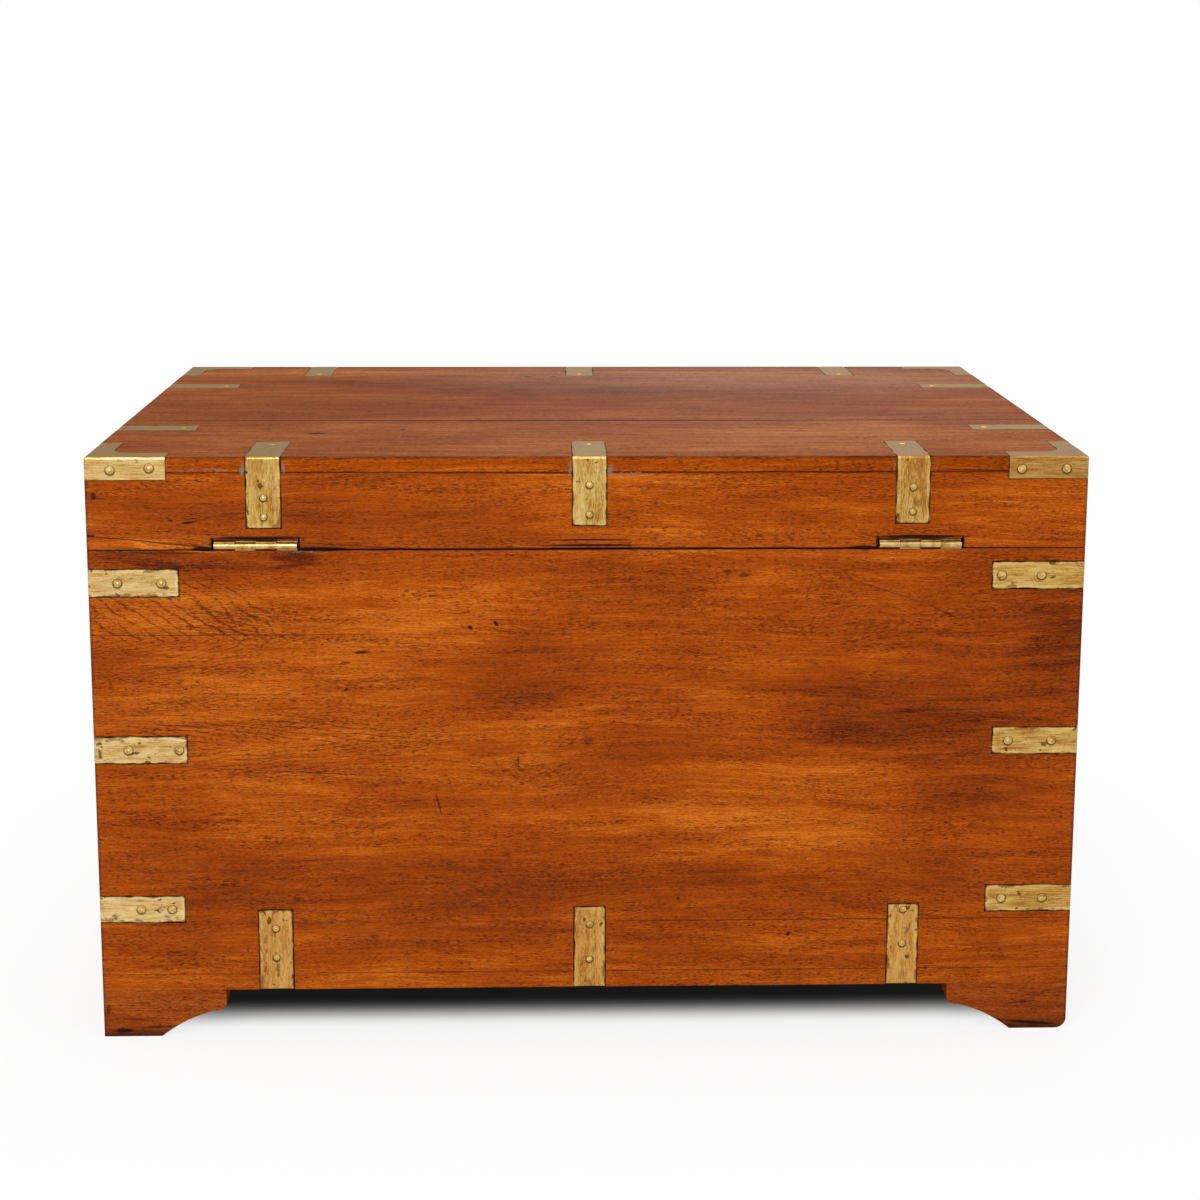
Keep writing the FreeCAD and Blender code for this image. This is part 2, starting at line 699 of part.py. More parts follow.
def foot_brackets(corner, envelope):
    """The two brackets of one foot, mitred at the corner: long along X, short along Y."""
    sx, sy = CORNERS[corner]
    thick = FOOT_THICKNESS

    def at(dx, dy, z=0.0):
        """A point by its distances from the end face and from the front or rear face."""
        return V(sx * (HALF_W - dx), sy * (HALF_D - dy), z)

    up = V(0, 0, FOOT_HEIGHT)
    long_blank = outline_prism(foot_outline(lambda s, z: at(s, 0, z)), at(0, thick) - at(0, 0))
    short_blank = outline_prism(foot_outline(lambda s, z: at(0, s, z)), at(thick, 0) - at(0, 0))
    off_long = prism([at(0, 0), at(0, thick), at(thick, thick)], up)
    off_short = prism([at(0, 0), at(thick, 0), at(thick, thick)], up)
    pair = {"long": long_blank.cut(off_long), "short": short_blank.cut(off_short)}
    return {kind: solid.common(envelope) for kind, solid in pair.items()}


def worn_corner():
    """The rubbed-off outer toe of the rear right foot: a corner less a quarter round."""
    x, y = -HALF_W, HALF_D
    block = box((x - REACH, x + WORN_CORNER), (y - WORN_LENGTH, y + REACH), (-REACH, WORN_CORNER))
    round_bar = Part.makeCylinder(WORN_CORNER, WORN_LENGTH + 2 * REACH, V(x + WORN_CORNER, y + REACH, WORN_CORNER), V(0, -1, 0))
    return block.cut(round_bar)


def feet():
    envelope = wood_envelope(0, FOOT_HEIGHT)
    nodes = {}
    for corner in CORNERS:
        for kind, solid in foot_brackets(corner, envelope).items():
            if corner == "rear_right":
                solid = solid.cut(worn_corner())
            nodes[f"foot_{corner}_{kind}"] = solid
    return nodes


def glue_blocks():
    """A post in the angle of each foot, and a rail with a sloping end behind each long bracket.
    The rear right rail is longer and shows past its bracket."""
    post_in = FOOT_THICKNESS
    post_out = FOOT_THICKNESS + GLUE_BLOCK
    low = FOOT_HEIGHT - GLUE_RAIL_HEIGHT
    solids = []
    for corner, (sx, sy) in CORNERS.items():
        rail_end = FOOT_LENGTH - GLUE_RAIL_INSET
        if corner == "rear_right":
            rail_end = FOOT_LENGTH + LONG_GLUE_RAIL_OVERHANG
        y = (sy * (HALF_D - post_in), sy * (HALF_D - post_out))
        post_x = (sx * (HALF_W - post_in), sx * (HALF_W - post_out))
        solids.append(box(post_x, y, (GLUE_POST_LIFT, FOOT_HEIGHT)))
        points = [
            V(post_x[1], y[0], FOOT_HEIGHT),
            V(sx * (HALF_W - rail_end), y[0], FOOT_HEIGHT),
            V(sx * (HALF_W - rail_end + GLUE_RAIL_SLOPE), y[0], low),
            V(post_x[1], y[0], low),
        ]
        solids.append(prism(points, V(0, y[1] - y[0], 0)))
    return Part.makeCompound(solids)


# ---- Hinges --------------------------------------------------------------------------------
HINGE_AXIS = {"left": V(HINGE_SPACING, HALF_D, HINGE_AXIS_Z), "right": V(-HINGE_SPACING, HALF_D, HINGE_AXIS_Z)}


def knuckle_span(centre_x, index):
    """The x limits of one knuckle, eased at both ends."""
    length = HINGE_LENGTH / HINGE_KNUCKLES
    start = centre_x - HINGE_LENGTH / 2 + index * length
    return (start + HINGE_KNUCKLE_EASE, start + length - HINGE_KNUCKLE_EASE)


def hinge_leaf(side, first, leaf_z):
    """One leaf with every other knuckle, starting at first."""
    axis = HINGE_AXIS[side]
    span = (axis.x - HINGE_LENGTH / 2, axis.x + HINGE_LENGTH / 2)
    leaf = box(span, (HALF_D - HINGE_LEAF_WIDTH, HALF_D), leaf_z)
    room = HINGE_BARREL + HINGE_LEAF_EASE
    gaps = []
    knuckles = []
    for index in range(HINGE_KNUCKLES):
        x = knuckle_span(axis.x, index)
        if index % 2 == first:
            knuckles.append(Part.makeCylinder(HINGE_BARREL, x[1] - x[0], V(x[0], axis.y, axis.z), V(1, 0, 0)))
        else:
            wide = (x[0] - 2 * HINGE_KNUCKLE_EASE, x[1] + 2 * HINGE_KNUCKLE_EASE)
            gaps.append(box(wide, (axis.y - room, axis.y + room), (axis.z - REACH, axis.z + REACH)))
    bore_radius = HINGE_PIN + HINGE_PIN_CLEARANCE
    bore = Part.makeCylinder(bore_radius, HINGE_LENGTH, V(span[0], axis.y, axis.z), V(1, 0, 0))
    return fuse([leaf.cut(gaps)] + knuckles).cut(bore)


CASE_LEAF_Z = (CASE_RIM, CASE_RIM + HINGE_LEAF)
LID_LEAF_Z = (HINGE_AXIS_Z + HINGE_RISE - HINGE_LEAF, HINGE_AXIS_Z + HINGE_RISE)


def hinge_screws(leaf_z, up):
    """(place, outward) of a leaf's screws on both hinges; up is the way their heads face."""
    z = leaf_z[1] if up > 0 else leaf_z[0]
    places = []
    for axis in HINGE_AXIS.values():
        for i in (-1, 0, 1):
            places.append((V(axis.x + i * HINGE_SCREW_SPACING, HALF_D - HINGE_SCREW_INSET, z), V(0, 0, up)))
    return places


def hinge_pins():
    solids = []
    for axis in HINGE_AXIS.values():
        start = V(axis.x - HINGE_LENGTH / 2, axis.y, axis.z)
        solids.append(Part.makeCylinder(HINGE_PIN, HINGE_LENGTH, start, V(1, 0, 0)))
    return Part.makeCompound(solids)


def hinge_notches():
    """What the hinges take out of the lid's rear rim: the leaf's bed, and a taller bay for the barrel."""
    cuts = []
    below = CASE_RIM - REACH
    for axis in HINGE_AXIS.values():
        half = HINGE_LENGTH / 2
        bed = half + HINGE_LEAF_EASE
        bay = half + HINGE_NOTCH_EASE
        bed_y = (HALF_D - HINGE_LEAF_WIDTH - HINGE_LEAF_EASE, HALF_D + REACH)
        bay_y = (HALF_D - HINGE_BARREL - HINGE_NOTCH_EASE, HALF_D + REACH)
        cuts.append(box((axis.x - bed, axis.x + bed), bed_y, (below, LID_LEAF_Z[1])))
        cuts.append(box((axis.x - bay, axis.x + bay), bay_y, (below, CASE_RIM + HINGE_NOTCH_HEIGHT)))
    return cuts


def patch_span():
    return (PATCH_OFFSET - PATCH_LENGTH / 2, PATCH_OFFSET + PATCH_LENGTH / 2)


def patch_mortise():
    return box(patch_span(), (HALF_D - PATCH_DEPTH, HALF_D + REACH), (CASE_RIM - REACH, CASE_RIM + PATCH_TOP))


def mortise_patch():
    z = (CASE_RIM + PATCH_TOP - PATCH_THICKNESS, CASE_RIM + PATCH_TOP)
    return box(patch_span(), (HALF_D - PATCH_DEPTH, HALF_D), z)


# ---- Lock ----------------------------------------------------------------------------------
LOCK_BACK = -INNER_D
LOCK_INSIDE = LOCK_BACK - LOCK_PLATE
LOCK_FRONT = LOCK_BACK - LOCK_DEPTH
LOCK_FOOT = CASE_RIM - LOCK_HEIGHT
KEY_Z = CASE_RIM - LOCK_KEY_DROP
LINK_Y = LOCK_INSIDE - LOCK_PLATE / 2 - LINK_WIDTH / 2
BOLT_BAR_Z = (CASE_RIM - BOLT_BAR_DROP, CASE_RIM - BOLT_BAR_DROP + BOLT_BAR_HEIGHT)
BOLT_BAR_Y = (LOCK_INSIDE - BOLT_SIDE_PLAY, LOCK_INSIDE - BOLT_SIDE_PLAY - BOLT_BAR_THICKNESS)
BOLT_NOSE_Z = (CASE_RIM - BOLT_NOSE_DROP - BOLT_NOSE, CASE_RIM - BOLT_NOSE_DROP)
BOLT_NOSE_Y = (LINK_Y - BOLT_NOSE / 2, LINK_Y + BOLT_NOSE / 2)


def lock_mortise():
    """The room for the lock in the front board's inner face, open at the rim."""
    half = LOCK_WIDTH / 2
    body = box((-half, half), (LOCK_BACK + REACH, LOCK_FRONT), (LOCK_FOOT, CASE_RIM + REACH))
    flange = half + LOCK_FLANGE
    plate = box((-flange, flange), (LOCK_BACK + REACH, LOCK_INSIDE), (LOCK_FOOT, CASE_RIM + REACH))
    return fuse([body, plate])


def bolt_guides():
    """Two staples that the bolt's bar slides through, clear of its posts over the whole throw."""
    post = LINK_SPACING - LINK_THICKNESS / 2 - LINK_GAP - BOLT_NOSE_LENGTH
    left_post_out = -LINK_SPACING - LINK_THICKNESS / 2 - LINK_GAP + BOLT_TRAVEL
    first = (left_post_out + LINK_GAP, post - BOLT_NOSE - LINK_GAP - BOLT_TALON)
    second = (post + BOLT_TRAVEL + LINK_GAP, post + BOLT_TRAVEL + LINK_GAP + BOLT_NOSE)
    wall = BOLT_GUIDE_WALL
    play = BOLT_SIDE_PLAY
    solids = []
    for x in (first, second):
        y_out = BOLT_BAR_Y[1] - play
        block = box(x, (LOCK_INSIDE, y_out - wall / 2), (BOLT_BAR_Z[0] - wall, BOLT_BAR_Z[1] + play + wall))
        solids.append(block.cut(box((-WIDTH, WIDTH), (LOCK_INSIDE, y_out), (BOLT_BAR_Z[0], BOLT_BAR_Z[1] + play))))
    return solids


def lock_case():
    """A brass box, open towards the wood, on a wider back plate, with the guides and drill pin inside."""
    half = LOCK_WIDTH / 2
    flange = half + LOCK_FLANGE
    inside = half - LOCK_WALL
    plate = box((-flange, flange), (LOCK_BACK, LOCK_INSIDE), (LOCK_FOOT, CASE_RIM))
    shell = box((-half, half), (LOCK_BACK, LOCK_FRONT), (LOCK_FOOT, CASE_RIM))
    room = box((-inside, inside), (LOCK_INSIDE, LOCK_FRONT - REACH), (LOCK_FOOT + LOCK_WALL, CASE_RIM - LOCK_PLATE))
    drill_pin = Part.makeCylinder(LOCK_DRILL_PIN, LOCK_DRILL_PIN_LENGTH, V(0, LOCK_INSIDE, KEY_Z), V(0, -1, 0))
    body = fuse([plate, shell.cut(room), drill_pin] + bolt_guides())
    cuts = []
    for s in (1, -1):
        half_x = LINK_THICKNESS / 2 + LINK_SLOT_EASE
        half_y = LINK_WIDTH / 2 + LINK_SLOT_EASE
        x = (s * LINK_SPACING - half_x, s * LINK_SPACING + half_x)
        y = (max(LINK_Y - half_y, LOCK_FRONT + LOCK_WALL / 4), min(LINK_Y + half_y, LOCK_INSIDE))
        cuts.append(box(x, y, (CASE_RIM - LOCK_PLATE, CASE_RIM + REACH)))
    cuts += [screw_blank(*s) for s in lock_screws()]
    return body.cut(cuts)


def lock_screws():
    """(place, outward, head, shank, length) of the four screws through the back plate."""
    x = LOCK_WIDTH / 2 + LOCK_FLANGE / 2
    rows = (CASE_RIM - LOCK_FLANGE, LOCK_FOOT + LOCK_FLANGE)
    sizes = (LOCK_SCREW_HEAD, LOCK_SCREW_SHANK, LOCK_SCREW_LENGTH)
    return [(V(s * x, LOCK_BACK, z), V(0, 1, 0)) + sizes for s in (1, -1) for z in rows]


def lock_bolt():
    """A bar with two posts, each with a nose that slides through one link of the lid's plate."""
    solids = []
    starts = []
    for s in (1, -1):
        tip = s * LINK_SPACING - LINK_THICKNESS / 2 - LINK_GAP
        root = tip - BOLT_NOSE_LENGTH
        starts.append(root - BOLT_NOSE)
        solids.append(box((root - BOLT_NOSE, tip), BOLT_NOSE_Y, BOLT_NOSE_Z))
        solids.append(box((root - BOLT_NOSE, root), BOLT_NOSE_Y, (BOLT_BAR_Z[0], BOLT_NOSE_Z[1])))
    end = LINK_SPACING + LINK_THICKNESS + BOLT_NOSE
    solids.append(box((min(starts), end), BOLT_BAR_Y, BOLT_BAR_Z))
    talon = box((-BOLT_TALON / 2, BOLT_TALON / 2), BOLT_BAR_Y, (BOLT_BAR_Z[0], BOLT_BAR_Z[0] + BOLT_NOSE))
    return fuse(solids).cut(talon)


def link_plate():
    """The plate under the lid's front rim, with the two links that drop into the lock."""
    half = LOCK_WIDTH / 2
    plate = box((-half, half), LINK_PLATE_Y, (LID_FOOT, LID_FOOT + LINK_PLATE))
    low = LID_FOOT - LINK_LENGTH
    ease = LINK_EYE_EASE
    solids = [plate]
    for s in (1, -1):
        x = (s * LINK_SPACING - LINK_THICKNESS / 2, s * LINK_SPACING + LINK_THICKNESS / 2)
        link = box(x, (LINK_Y - LINK_WIDTH / 2, LINK_Y + LINK_WIDTH / 2), (low, LID_FOOT))
        eye_y = (BOLT_NOSE_Y[0] - ease, BOLT_NOSE_Y[1] + ease)
        eye = box(x, eye_y, (BOLT_NOSE_Z[0] - ease, BOLT_NOSE_Z[1] + ease))
        solids.append(link.cut(eye))
    return fuse(solids).cut([screw_blank(*s) for s in link_plate_screws()])


LINK_PLATE_Y = (LOCK_BACK - LOCK_PLATE / 2, LOCK_FRONT)


def link_plate_recess():
    half = LOCK_WIDTH / 2
    return box((-half, half), LINK_PLATE_Y, (LID_FOOT - REACH, LID_FOOT + LINK_PLATE))


def link_plate_screws():
    sizes = (LOCK_SCREW_HEAD, LOCK_SCREW_SHANK, LOCK_SCREW_LENGTH)
    inset = LOCK_WIDTH / 2 - LOCK_FLANGE
    return [(V(x, LINK_Y, LID_FOOT), V(0, 0, -1)) + sizes for x in (-inset, 0, inset)]


def keyhole(y_from, y_to):
    """A round eye over a straight slot, through a stretch of the front."""
    along = V(0, y_to - y_from, 0)
    eye = Part.makeCylinder(KEYHOLE, abs(y_to - y_from), V(0, min(y_from, y_to), KEY_Z), V(0, 1, 0))
    half = KEYHOLE_SLOT / 2
    points = [V(-half, y_from, KEY_Z), V(half, y_from, KEY_Z)]
    points += [V(half, y_from, KEY_Z - KEYHOLE_DROP), V(-half, y_from, KEY_Z - KEYHOLE_DROP)]
    return fuse([eye, prism(points, along)])


def stadium(width, height, z, y_from, y_to):
    """An upright plate with half-round ends, centred on x = 0."""
    radius = width / 2
    straight = height / 2 - radius
    depth = abs(y_to - y_from)
    low = min(y_from, y_to)
    ends = [Part.makeCylinder(radius, depth, V(0, low, z + s * straight), V(0, 1, 0)) for s in (1, -1)]
    return fuse(ends + [box((-radius, radius), (y_from, y_to), (z - straight, z + straight))])


def escutcheon():
    outer = -HALF_D - STRIP_PROUD
    inner = -HALF_D + STRIP_INSET
    plate = stadium(ESCUTCHEON_WIDTH, ESCUTCHEON_HEIGHT, KEY_Z, outer, inner)
    return carve(plate.cut(keyhole(outer, inner)), [pin_seat(*p) for p in escutcheon_pins()])


def escutcheon_recess():
    grow = 2 * STRIP_SEAM
    size = (ESCUTCHEON_WIDTH + grow, ESCUTCHEON_HEIGHT + grow)
    return stadium(*size, KEY_Z, -HALF_D - REACH, -HALF_D + STRIP_INSET)


# ---- Drop handles --------------------------------------------------------------------------
def handle_point(side, out, y, z):
    """A point by its distance out from an end face."""
    return V(ENDS[side] * (HALF_W + out), y, z)


def rounded_plate(side):
    """The back plate, with its corners rounded."""
    x = (ENDS[side] * HALF_W, ENDS[side] * (HALF_W + HANDLE_PLATE))
    y = (-HANDLE_PLATE_LENGTH / 2, HANDLE_PLATE_LENGTH / 2)
    z = (HANDLE_HEIGHT - HANDLE_PLATE_HEIGHT / 2, HANDLE_HEIGHT + HANDLE_PLATE_HEIGHT / 2)
    plate = box(x, y, z)
    corners = [e for e in plate.Edges if abs(e.tangentAt(e.FirstParameter).x) > 0.99]
    return plate.makeFillet(HANDLE_PLATE_CORNER, corners)


def handle_plate(side):
    """The back plate with two bored lugs."""
    sx = ENDS[side]
    solids = [rounded_plate(side)]
    for s in (1, -1):
        y = s * HANDLE_LUG_SPACING - HANDLE_LUG_WIDTH / 2
        boss = Part.makeCylinder(HANDLE_LUG, HANDLE_LUG_WIDTH, handle_point(side, HANDLE_PIVOT_STANDOFF, y, HANDLE_HEIGHT), V(0, 1, 0))
        foot = box(
            (sx * HALF_W, sx * (HALF_W + HANDLE_PIVOT_STANDOFF)),
            (y, y + HANDLE_LUG_WIDTH),
            (HANDLE_HEIGHT - HANDLE_LUG, HANDLE_HEIGHT + HANDLE_LUG),
        )
        solids += [boss, foot]
    bore_start = handle_point(side, HANDLE_PIVOT_STANDOFF, -HANDLE_PLATE_LENGTH / 2, HANDLE_HEIGHT)
    bore = Part.makeCylinder(HANDLE_ROD + HANDLE_ROD_CLEARANCE, HANDLE_PLATE_LENGTH, bore_start, V(0, 1, 0))
    behind = box((0, sx * HALF_W), (-DEPTH, DEPTH), (0, LID_TOP))
    body = fuse(solids).cut(bore).cut(behind)
    return body.cut([screw_blank(*s) for s in handle_screws(side)])


def handle_screws(side):
    sizes = (HANDLE_SCREW_HEAD, SCREW_SHANK, HANDLE_SCREW_LENGTH)
    places = []
    for sy in (1, -1):
        for sz in (1, -1):
            at = handle_point(side, HANDLE_PLATE, sy * HANDLE_SCREW_SPACING_Y, HANDLE_HEIGHT + sz * HANDLE_SCREW_SPACING_Z)
            places.append((at, V(ENDS[side], 0, 0)) + sizes)
    return places


def bail_path(side):
    """The bail's centre line, hanging: in from each lug, round a shoulder, down, and across."""

    def at(y, z):
        return handle_point(side, HANDLE_PIVOT_STANDOFF, y, HANDLE_HEIGHT + z)

    half = HANDLE_ARM_SPACING
    shoulder = HANDLE_SHOULDER
    corner = HANDLE_CORNER
    inner = HANDLE_LUG_SPACING - HANDLE_LUG_WIDTH / 2
    bend = 1 - math.sqrt(0.5)
    edges = []
    for s in (1, -1):
        run = [
            line(at(s * inner, 0), at(s * (half - shoulder), 0)),
            arc(
                at(s * (half - shoulder), 0),
                at(s * (half - shoulder * bend), -shoulder * bend),
                at(s * half, -shoulder),
            ),
            line(at(s * half, -shoulder), at(s * half, corner - HANDLE_DROP)),
            arc(
                at(s * half, corner - HANDLE_DROP),
                at(s * (half - corner * bend), corner * bend - HANDLE_DROP),
                at(s * (half - corner), -HANDLE_DROP),
            ),
        ]
        edges += run if s > 0 else run[::-1]
        if s > 0:
            edges.append(line(at(half - corner, -HANDLE_DROP), at(corner - half, -HANDLE_DROP)))
    return Part.Wire(edges)


def bail(side):
    """A round rod bent to a bail, with a heel on each arm that meets the plate when it is lifted."""
    path = bail_path(side)
    start = handle_point(side, HANDLE_PIVOT_STANDOFF, HANDLE_LUG_SPACING - HANDLE_LUG_WIDTH / 2, HANDLE_HEIGHT)
    ring = Part.Wire([Part.makeCircle(HANDLE_ROD, start, V(0, 1, 0))])
    rod = path.makePipeShell([ring], True, False)
    return fuse([rod] + bail_heels(side))


def bail_heels(side):
    """The stops on the arms. The half away from the plate is square and meets the plate flat when
    the bail is level; the half next to it is rounded, so that it swings past."""
    sx = ENDS[side]
    centre = sx * (HALF_W + HANDLE_PIVOT_STANDOFF)
    reach = HANDLE_PIVOT_STANDOFF - HANDLE_PLATE - HANDLE_STOP_GAP
    inner = HANDLE_LUG_SPACING + HANDLE_LUG_WIDTH / 2 + HANDLE_HEEL_EASE
    outer = HANDLE_ARM_SPACING + HANDLE_HEEL
    swing = reach - HANDLE_HEEL_EASE
    z = (HANDLE_HEIGHT, HANDLE_HEIGHT + reach)
    heels = []
    for s in (1, -1):
        y = (s * inner, s * outer)
        start = V(centre, min(y), HANDLE_HEIGHT)
        rounded = Part.makeCylinder(swing, outer - inner, start, V(0, 1, 0))
        heels.append(box((centre, centre + sx * HANDLE_HEEL), y, z))
        heels.append(rounded.common(box((centre, centre - sx * HANDLE_HEEL), y, z)))
    return heels


# ---- Lid stay ------------------------------------------------------------------------------
def round_axis(angle):
    """A point of the stay's circle about the hinge axis, angle degrees above the level."""
    turn = math.radians(angle)
    return V(0, HALF_D - STAY_RADIUS * math.cos(turn), HINGE_AXIS_Z + STAY_RADIUS * math.sin(turn))


def chord(open_angle):
    """How far the stay's pivot stands from its stud with the lid at an angle."""
    return 2 * STAY_RADIUS * math.sin(math.radians(STAY_ANGLE + open_angle / 2))


STAY_PIVOT = round_axis(STAY_ANGLE)
STAY_STUD_AT = round_axis(-STAY_ANGLE)
STAY_WALL = INNER_W
STAY_BAR_X = (STAY_WALL - STAY_STANDOFF, STAY_WALL - STAY_STANDOFF - STAY_BAR)


def stay_screws(at):
    sizes = (LOCK_SCREW_HEAD, LOCK_SCREW_SHANK, LOCK_SCREW_LENGTH)
    off = STAY_SCREW_OFFSET
    face = STAY_WALL - STAY_PLATE
    return [(V(face, at.y + s * off, at.z + s * off), V(-1, 0, 0)) + sizes for s in (1, -1)]


def stay_fitting(at):
    """A small plate with a shouldered, headed stud that carries the bar."""
    half = STAY_PLATE_SIDE / 2
    plate = box((STAY_WALL, STAY_WALL - STAY_PLATE), (at.y - half, at.y + half), (at.z - half, at.z + half))
    shoulder_end = STAY_BAR_X[0] + STAY_PLAY
    head_start = STAY_BAR_X[1] - STAY_PLAY
    face = STAY_WALL - STAY_PLATE
    inwards = V(-1, 0, 0)
    shoulder = Part.makeCylinder(STAY_STUD_HEAD, face - shoulder_end, V(face, at.y, at.z), inwards)
    stud = Part.makeCylinder(STAY_STUD, face - head_start, V(face, at.y, at.z), inwards)
    head = Part.makeCylinder(STAY_STUD_HEAD, STAY_HEAD, V(head_start, at.y, at.z), inwards)
    return fuse([plate, shoulder, stud, head]).cut([screw_blank(*s) for s in stay_screws(at)])


def bar_blank(z_high, z_low, radius, x):
    """A flat bar with round ends, hanging through the stay's pivot."""
    y = STAY_PIVOT.y
    thick = abs(x[1] - x[0])
    ends = [Part.makeCylinder(radius, thick, V(min(x), y, z), V(1, 0, 0)) for z in (z_high, z_low)]
    return fuse(ends + [box(x, (y - radius, y + radius), (z_low, z_high))])


def stay_bar():
    """The slotted bar: it turns on the lid's stud and slides past the case's stud."""
    top = STAY_PIVOT.z
    slot_half = STAY_STUD + STAY_PLAY
    slot_low = top - chord(LID_OPEN_ANGLE) - STAY_PLAY
    slot_high = top - chord(0) + STAY_END
    bar = bar_blank(top, slot_low - STAY_END, STAY_BAR_WIDTH / 2, STAY_BAR_X)
    slot = bar_blank(slot_high, slot_low, slot_half, STAY_BAR_X)
    hole_radius = STAY_STUD + STAY_HOLE_CLEARANCE
    hole = Part.makeCylinder(hole_radius, STAY_BAR, V(STAY_BAR_X[1], STAY_PIVOT.y, top), V(1, 0, 0))
    return bar.cut([slot, hole])


# ---- The chest -----------------------------------------------------------------------------
def hinge_screw_set(leaf_z, up):
    return [s + (SCREW_HEAD, SCREW_SHANK, SCREW_LENGTH) for s in hinge_screws(leaf_z, up)]


CASE_SCREWS = hinge_screw_set(CASE_LEAF_Z, 1) + lock_screws() + stay_screws(STAY_STUD_AT)
LID_SCREWS = hinge_screw_set(LID_LEAF_Z, -1) + link_plate_screws() + stay_screws(STAY_PIVOT)
HANDLE_SCREWS = handle_screws("left") + handle_screws("right")


def case_cutters():
    cutters = case_strap_recesses()
    cutters += [pin_blank(*p) for p in CASE_PINS]
    cutters += [screw_blank(*s) for s in CASE_SCREWS + HANDLE_SCREWS]
    cutters += [lock_mortise(), escutcheon_recess(), keyhole(-HALF_D - REACH, LOCK_FRONT + REACH)]
    return cutters


def lid_cutters():
    cutters = lid_strap_recesses()
    cutters += [pin_blank(*p) for p in LID_PINS]
    cutters += [screw_blank(*s) for s in LID_SCREWS]
    cutters += hinge_notches()
    cutters += [patch_mortise(), link_plate_recess()]
    return cutters


def case_brass():
    """The case's straps, one node per corner and one for the straps under its edges."""
    whole = skin(*CASE_BLOCK)
    rows = range(len(CORNER_STRAP_DROPS))
    nodes = {}
    for corner in CORNERS:
        solids = [strap(corner_strap_block(corner, row), whole, CASE_PINS) for row in rows]
        nodes[f"corner_straps_{corner}"] = Part.makeCompound(solids)
    solids = [strap(bottom_strap_block(s), whole, CASE_PINS) for s in edge_straps(BOTTOM_STRAPS)]
    nodes["bottom_straps"] = Part.makeCompound(solids)
    nodes["case_pins"] = Part.makeCompound([pin(*p) for p in CASE_PINS])
    return nodes


def lid_brass():
    """The lid's straps and corner brackets."""
    whole = skin(*LID_BLOCK)
    nodes = {f"lid_corner_{c}": strap(bracket_block(c), whole, LID_PINS) for c in CORNERS}
    solids = [strap(lid_strap_block(s), whole, LID_PINS) for s in edge_straps(LID_STRAPS)]
    nodes["lid_straps"] = Part.makeCompound(solids)
    nodes["lid_pins"] = Part.makeCompound([pin(*p) for p in LID_PINS])
    return nodes


def hinges():
    nodes = {}
    for side in HINGE_AXIS:
        case_screws = [screw_blank(*s) for s in hinge_screw_set(CASE_LEAF_Z, 1)]
        lid_screws = [screw_blank(*s) for s in hinge_screw_set(LID_LEAF_Z, -1)]
        nodes[f"hinge_{side}_case_leaf"] = carve(hinge_leaf(side, 0, CASE_LEAF_Z), case_screws)
        nodes[f"hinge_{side}_lid_leaf"] = carve(hinge_leaf(side, 1, LID_LEAF_Z), lid_screws)
    nodes["hinge_pins"] = hinge_pins()
    return nodes


def fittings():
    """The lock, the handles, the stay and the loose screws."""
    nodes = {
        "lock_case": lock_case(),
        "lock_bolt": lock_bolt(),
        "lock_link_plate": link_plate(),
        "lock_escutcheon": escutcheon(),
        "stay_case_stud": stay_fitting(STAY_STUD_AT),
        "stay_lid_stud": stay_fitting(STAY_PIVOT),
        "stay_bar": stay_bar(),
        "case_screws": Part.makeCompound([screw(*s) for s in CASE_SCREWS]),
        "lid_screws": Part.makeCompound([screw(*s) for s in LID_SCREWS]),
        "handle_screws": Part.makeCompound([screw(*s) for s in HANDLE_SCREWS]),
    }
    for side in ENDS:
        nodes[f"handle_{side}_plate"] = handle_plate(side)
        nodes[f"handle_{side}_bail"] = bail(side)
    return nodes


def chest():
    """Every piece of the chest, by name."""
    cutters = case_cutters()
    nodes = case_planks(cutters)
    nodes.update(bottom_boards(cutters))
    nodes.update(lid_boards(lid_cutters()))
    nodes.update(feet())
    nodes["foot_glue_blocks"] = glue_blocks()
    nodes["hinge_mortise_patch"] = mortise_patch()
    nodes.update(case_brass())
    nodes.update(lid_brass())
    nodes.update(hinges())
    nodes.update(fittings())
    return nodes


os.makedirs("parts", exist_ok=True)
for node_name, shape in chest().items():
    shape.exportStep(f"parts/{node_name}.step")
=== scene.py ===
import math
import random
from functools import partial

import bpy
from mathutils import Matrix, Vector


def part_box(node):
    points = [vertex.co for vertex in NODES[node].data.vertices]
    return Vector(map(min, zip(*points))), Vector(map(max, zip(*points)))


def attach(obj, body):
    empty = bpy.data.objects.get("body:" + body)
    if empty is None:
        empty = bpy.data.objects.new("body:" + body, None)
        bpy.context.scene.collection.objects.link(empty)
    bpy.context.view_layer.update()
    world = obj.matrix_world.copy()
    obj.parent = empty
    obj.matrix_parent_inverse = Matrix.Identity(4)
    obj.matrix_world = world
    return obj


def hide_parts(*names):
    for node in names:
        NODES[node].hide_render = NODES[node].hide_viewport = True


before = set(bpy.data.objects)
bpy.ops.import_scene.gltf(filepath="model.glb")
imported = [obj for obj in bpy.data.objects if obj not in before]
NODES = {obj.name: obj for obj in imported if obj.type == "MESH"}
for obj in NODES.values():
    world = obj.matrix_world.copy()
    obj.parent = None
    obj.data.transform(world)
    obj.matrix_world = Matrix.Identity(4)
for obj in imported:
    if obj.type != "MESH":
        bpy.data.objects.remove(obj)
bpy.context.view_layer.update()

bl_info = {
    "name": "Brass-bound campaign chest",
    "version": (1, 0, 0),
    "blender": (4, 5, 0),
    "location": "View3D > Sidebar > Chest",
    "description": "Dresses the chest's frame: polished teak, worn brass straps and a plain studio",
    "category": "Object",
}

MM = 0.001

